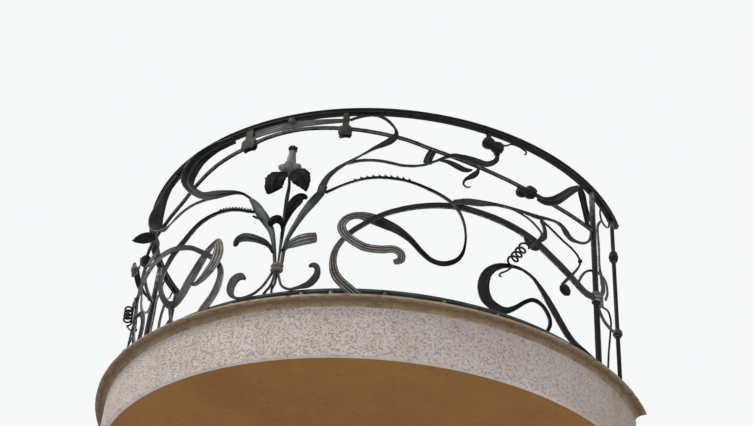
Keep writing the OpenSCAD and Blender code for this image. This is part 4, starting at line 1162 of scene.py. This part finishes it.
def dress_bud():
    """The lobed bud with its hanger, its cup and the horn that its hook grows from."""
    lying = Matrix.Rotation(math.pi / 2, 4, "Y")
    egg = drawn(914, 916) @ Matrix.Rotation(math.radians(103), 4, "Y") @ Matrix.Translation((0, 0, -50 * MM))
    assemble("bud", [turned(BUD_SIDE, egg, 40, 6, 0.10),
                     turned([(0, 0), (11, 0), (11, 44), (0, 44)], drawn(892, 936)),
                     turned([(0, 0), (13, 0), (14, 12), (13, 24), (0, 24)], drawn(934, 872)),
                     turned([(0, 0), (7, 0), (5, 24), (0, 25)], drawn(940, 938) @ lying)], "black_iron")


# The bars of each node

EASED = {
    "handrail": "black_iron", "bottom_rail": "slate_iron", "rail_feet": "black_iron",
    "left_wall_post": "black_iron", "right_wall_post": "black_iron", "left_newel": "black_iron",
    "right_newel": "black_iron", "left_barbs": "black_iron", "right_barbs": "black_iron",
    "crest_clasps": "brown_iron",
}
# Where each node is rubbed: along the rail, height, reach in mm, and how much
RUBBED = {
    "right_vine": [(380, 20, 120, 1.0), (312, 98, 90, 1.0), (269, 190, 90, 0.9), (282, 286, 60, 0.4)],
    "left_vine": [(-305, 30, 110, 0.9), (-268, 98, 80, 0.9), (-241, 180, 80, 0.8), (-760, 535, 220, 0.45)],
    "right_whiplash": [(352, 438, 90, 0.5), (300, 360, 90, 0.9), (345, 290, 80, 1.0), (430, 272, 90, 1.0),
                       (505, 270, 70, 0.9), (530, 230, 50, 0.7), (738, 480, 110, 0.35),
                       (735, 560, 110, 0.35)],
    "left_whiplash": [(-450, 262, 100, 0.5), (-350, 395, 90, 0.6), (-267, 376, 90, 0.9),
                      (-272, 300, 90, 0.9), (-340, 236, 90, 0.7)],
    "iris_leaves": [(134, 307, 90, 0.7)],
    "right_branch": [(820, 570, 90, 0.25)],
    "left_branch": [(-820, 570, 90, 0.25)],
}

UPPER_RAIL_WIDTH = 14
# For each node, its bars: rows, thickness, section and, where a bar is ragged or wavy, how much
BARS = {
    "upper_rail": [([point + [UPPER_RAIL_WIDTH] for point in UPPER_LINE], UPPER_RAIL_WIDTH, "square")],
    "iris_falls": [(rows, LEAF, "leaf", 0.2, 2.0) for rows in FALLS],
    "iris_leaf_blades": [(LANCE, LEAF, "leaf", 0.05), (SMALL_LEAF, LEAF, "leaf", 0.05)],
    "iris_stem": [(IRIS_STEM, RIBBON, "bar")],
    "iris_leaves": [(LEFT_LEAF, RIBBON, "leaf"), (reeded(RIGHT_LEAF), RIBBON, "reeded")],
    "iris_feet": [(rows, RIBBON, "strap") for rows in FEET],
    "right_stem": [(RIGHT_STEM, VINE + 2, "bar")],
    "left_stem": [(LEFT_STEM, VINE + 2, "bar"), (TORN_LIP, LEAF, "leaf", 0.2)],
    "crest_strap": [(reeded(CREST_BAR), LEAF, "reeded")],
    "right_crest": [(RIGHT_CREST, RIBBON, "strap")],
    "left_crest": [(LEFT_CREST, RIBBON, "leaf")],
    "right_wave": [(RIGHT_WAVE + BUD_STEM, RIBBON, "strap"), (WAVE_UNDERLEAF, LEAF, "leaf"),
                   (WAVE_CURL, LEAF, "leaf"), (BUD_HOOK, RIBBON, "bar"), (WAVE_LEAF, LEAF, "leaf")],
    "right_whiplash": [(reeded(RIGHT_WHIPLASH), RIBBON, "reeded")],
    "left_whiplash": [(reeded(LEFT_WHIPLASH), RIBBON, "reeded")]
                     + [(rows, RIBBON, "strap") for rows in LEFT_WHIP_LEGS],
}
BAR_COAT = {"crest_strap": "strap_iron", "iris_stem": "slate_iron", "right_stem": "slate_iron",
            "left_stem": "slate_iron", "iris_falls": "black_leaf", "iris_leaf_blades": "black_leaf"}
# Bars that stand on both sides of the balcony
PAIRED = {
    "newel_shoots": [(OVAL, RIBBON, "bar"), (SPOON, RIBBON, "strap"), (HOOP, RIBBON, "strap"),
                     (LOW_SHOOT, RIBBON, "bar"), (STRUT, RIBBON, "strap")],
    "branch": [(BRANCH, RIBBON, "strap", 0.12), (TWIG, RIBBON, "bar"), (BRANCH_SHOOT, RIBBON, "strap")],
    "tendril": [(LEAD, RIBBON - 2, "strap"), (TAIL, RIBBON - 3, "bar"),
                (TENDRIL_KNOT, RIBBON, "leaf", 0.1)],
    "scroll": [(reeded(SCROLL), RIBBON, "reeded")],
    "shoulder": [(SHOULDER, RIBBON, "leaf")],
}
LEFT_SCROLL_SHIFT, LEFT_CURL_DROP = -90, -49


def more_pieces(name, side):
    """The wound, turned and knotted pieces that a node has besides its swept bars."""
    if name == "crest_strap":
        return [crest_knob()]
    if name == "tendril":
        return [corkscrew(side)]
    if name == "branch":
        return [twig_ball(side), twig_drop(side)]
    if name == "shoulder":
        return [knot(1062, side, 24, 26, 40), knot(1106, side, 4, 30, 44)]
    return []


def dress_bars():
    """The upper rail, the middle group, the crest, the right wave and the whiplash ribbons."""
    for name, bars in BARS.items():
        pieces = [forge(*bar) for bar in bars] + more_pieces(name, 1)
        node = "iris_stem" if name == "iris_leaf_blades" else name
        level = 0.4 if name == "crest_strap" else 0.0
        assemble(node, pieces, BAR_COAT.get(name, "black_iron"), level, RUBBED.get(name, ()),
                 name=name + "_bars")


def dress_side(hand, side, vine_foot):
    """The vine, newel shoots, branch, tendril, scroll and shoulder of one side."""
    vine = forge(vine_foot + VINE_TOP, VINE, "foot", side=side)
    assemble(hand + "vine", [vine], "black_iron", 0.0, RUBBED[hand + "vine"])
    for name, bars in PAIRED.items():
        if name == "scroll" and side < 0:
            bars = [(shift(reeded(SCROLL), LEFT_SCROLL_SHIFT, 0), RIBBON, "reeded")]
        pieces = [forge(*bar, side=side) for bar in bars] + more_pieces(name, side)
        assemble(hand + name, pieces, "black_iron", 0.0, RUBBED.get(hand + name, ()))


def dress_left_wave():
    """The left wave with its curl and its pointed leaf."""
    wave = forge(LEFT_WAVE, RIBBON, "strap", side=-1)
    curl = forge(shift(WAVE_CURL, 0, LEFT_CURL_DROP), LEAF, "leaf", side=-1)
    assemble("left_wave", [wave, curl, pointed_leaf()], "black_iron")


dress_fascia()
dress_coping()
dress_flower()
paint_plain_slab()
for node, coat in EASED.items():
    ease(node, coat)
dress_collar()
dress_bars()
dress_side("right_", 1, RIGHT_VINE_FOOT)
dress_side("left_", -1, LEFT_VINE_FOOT)
dress_left_wave()
dress_bud()

aim_camera()
light_the_stage()
bpy.context.scene.view_settings.view_transform = "Standard"
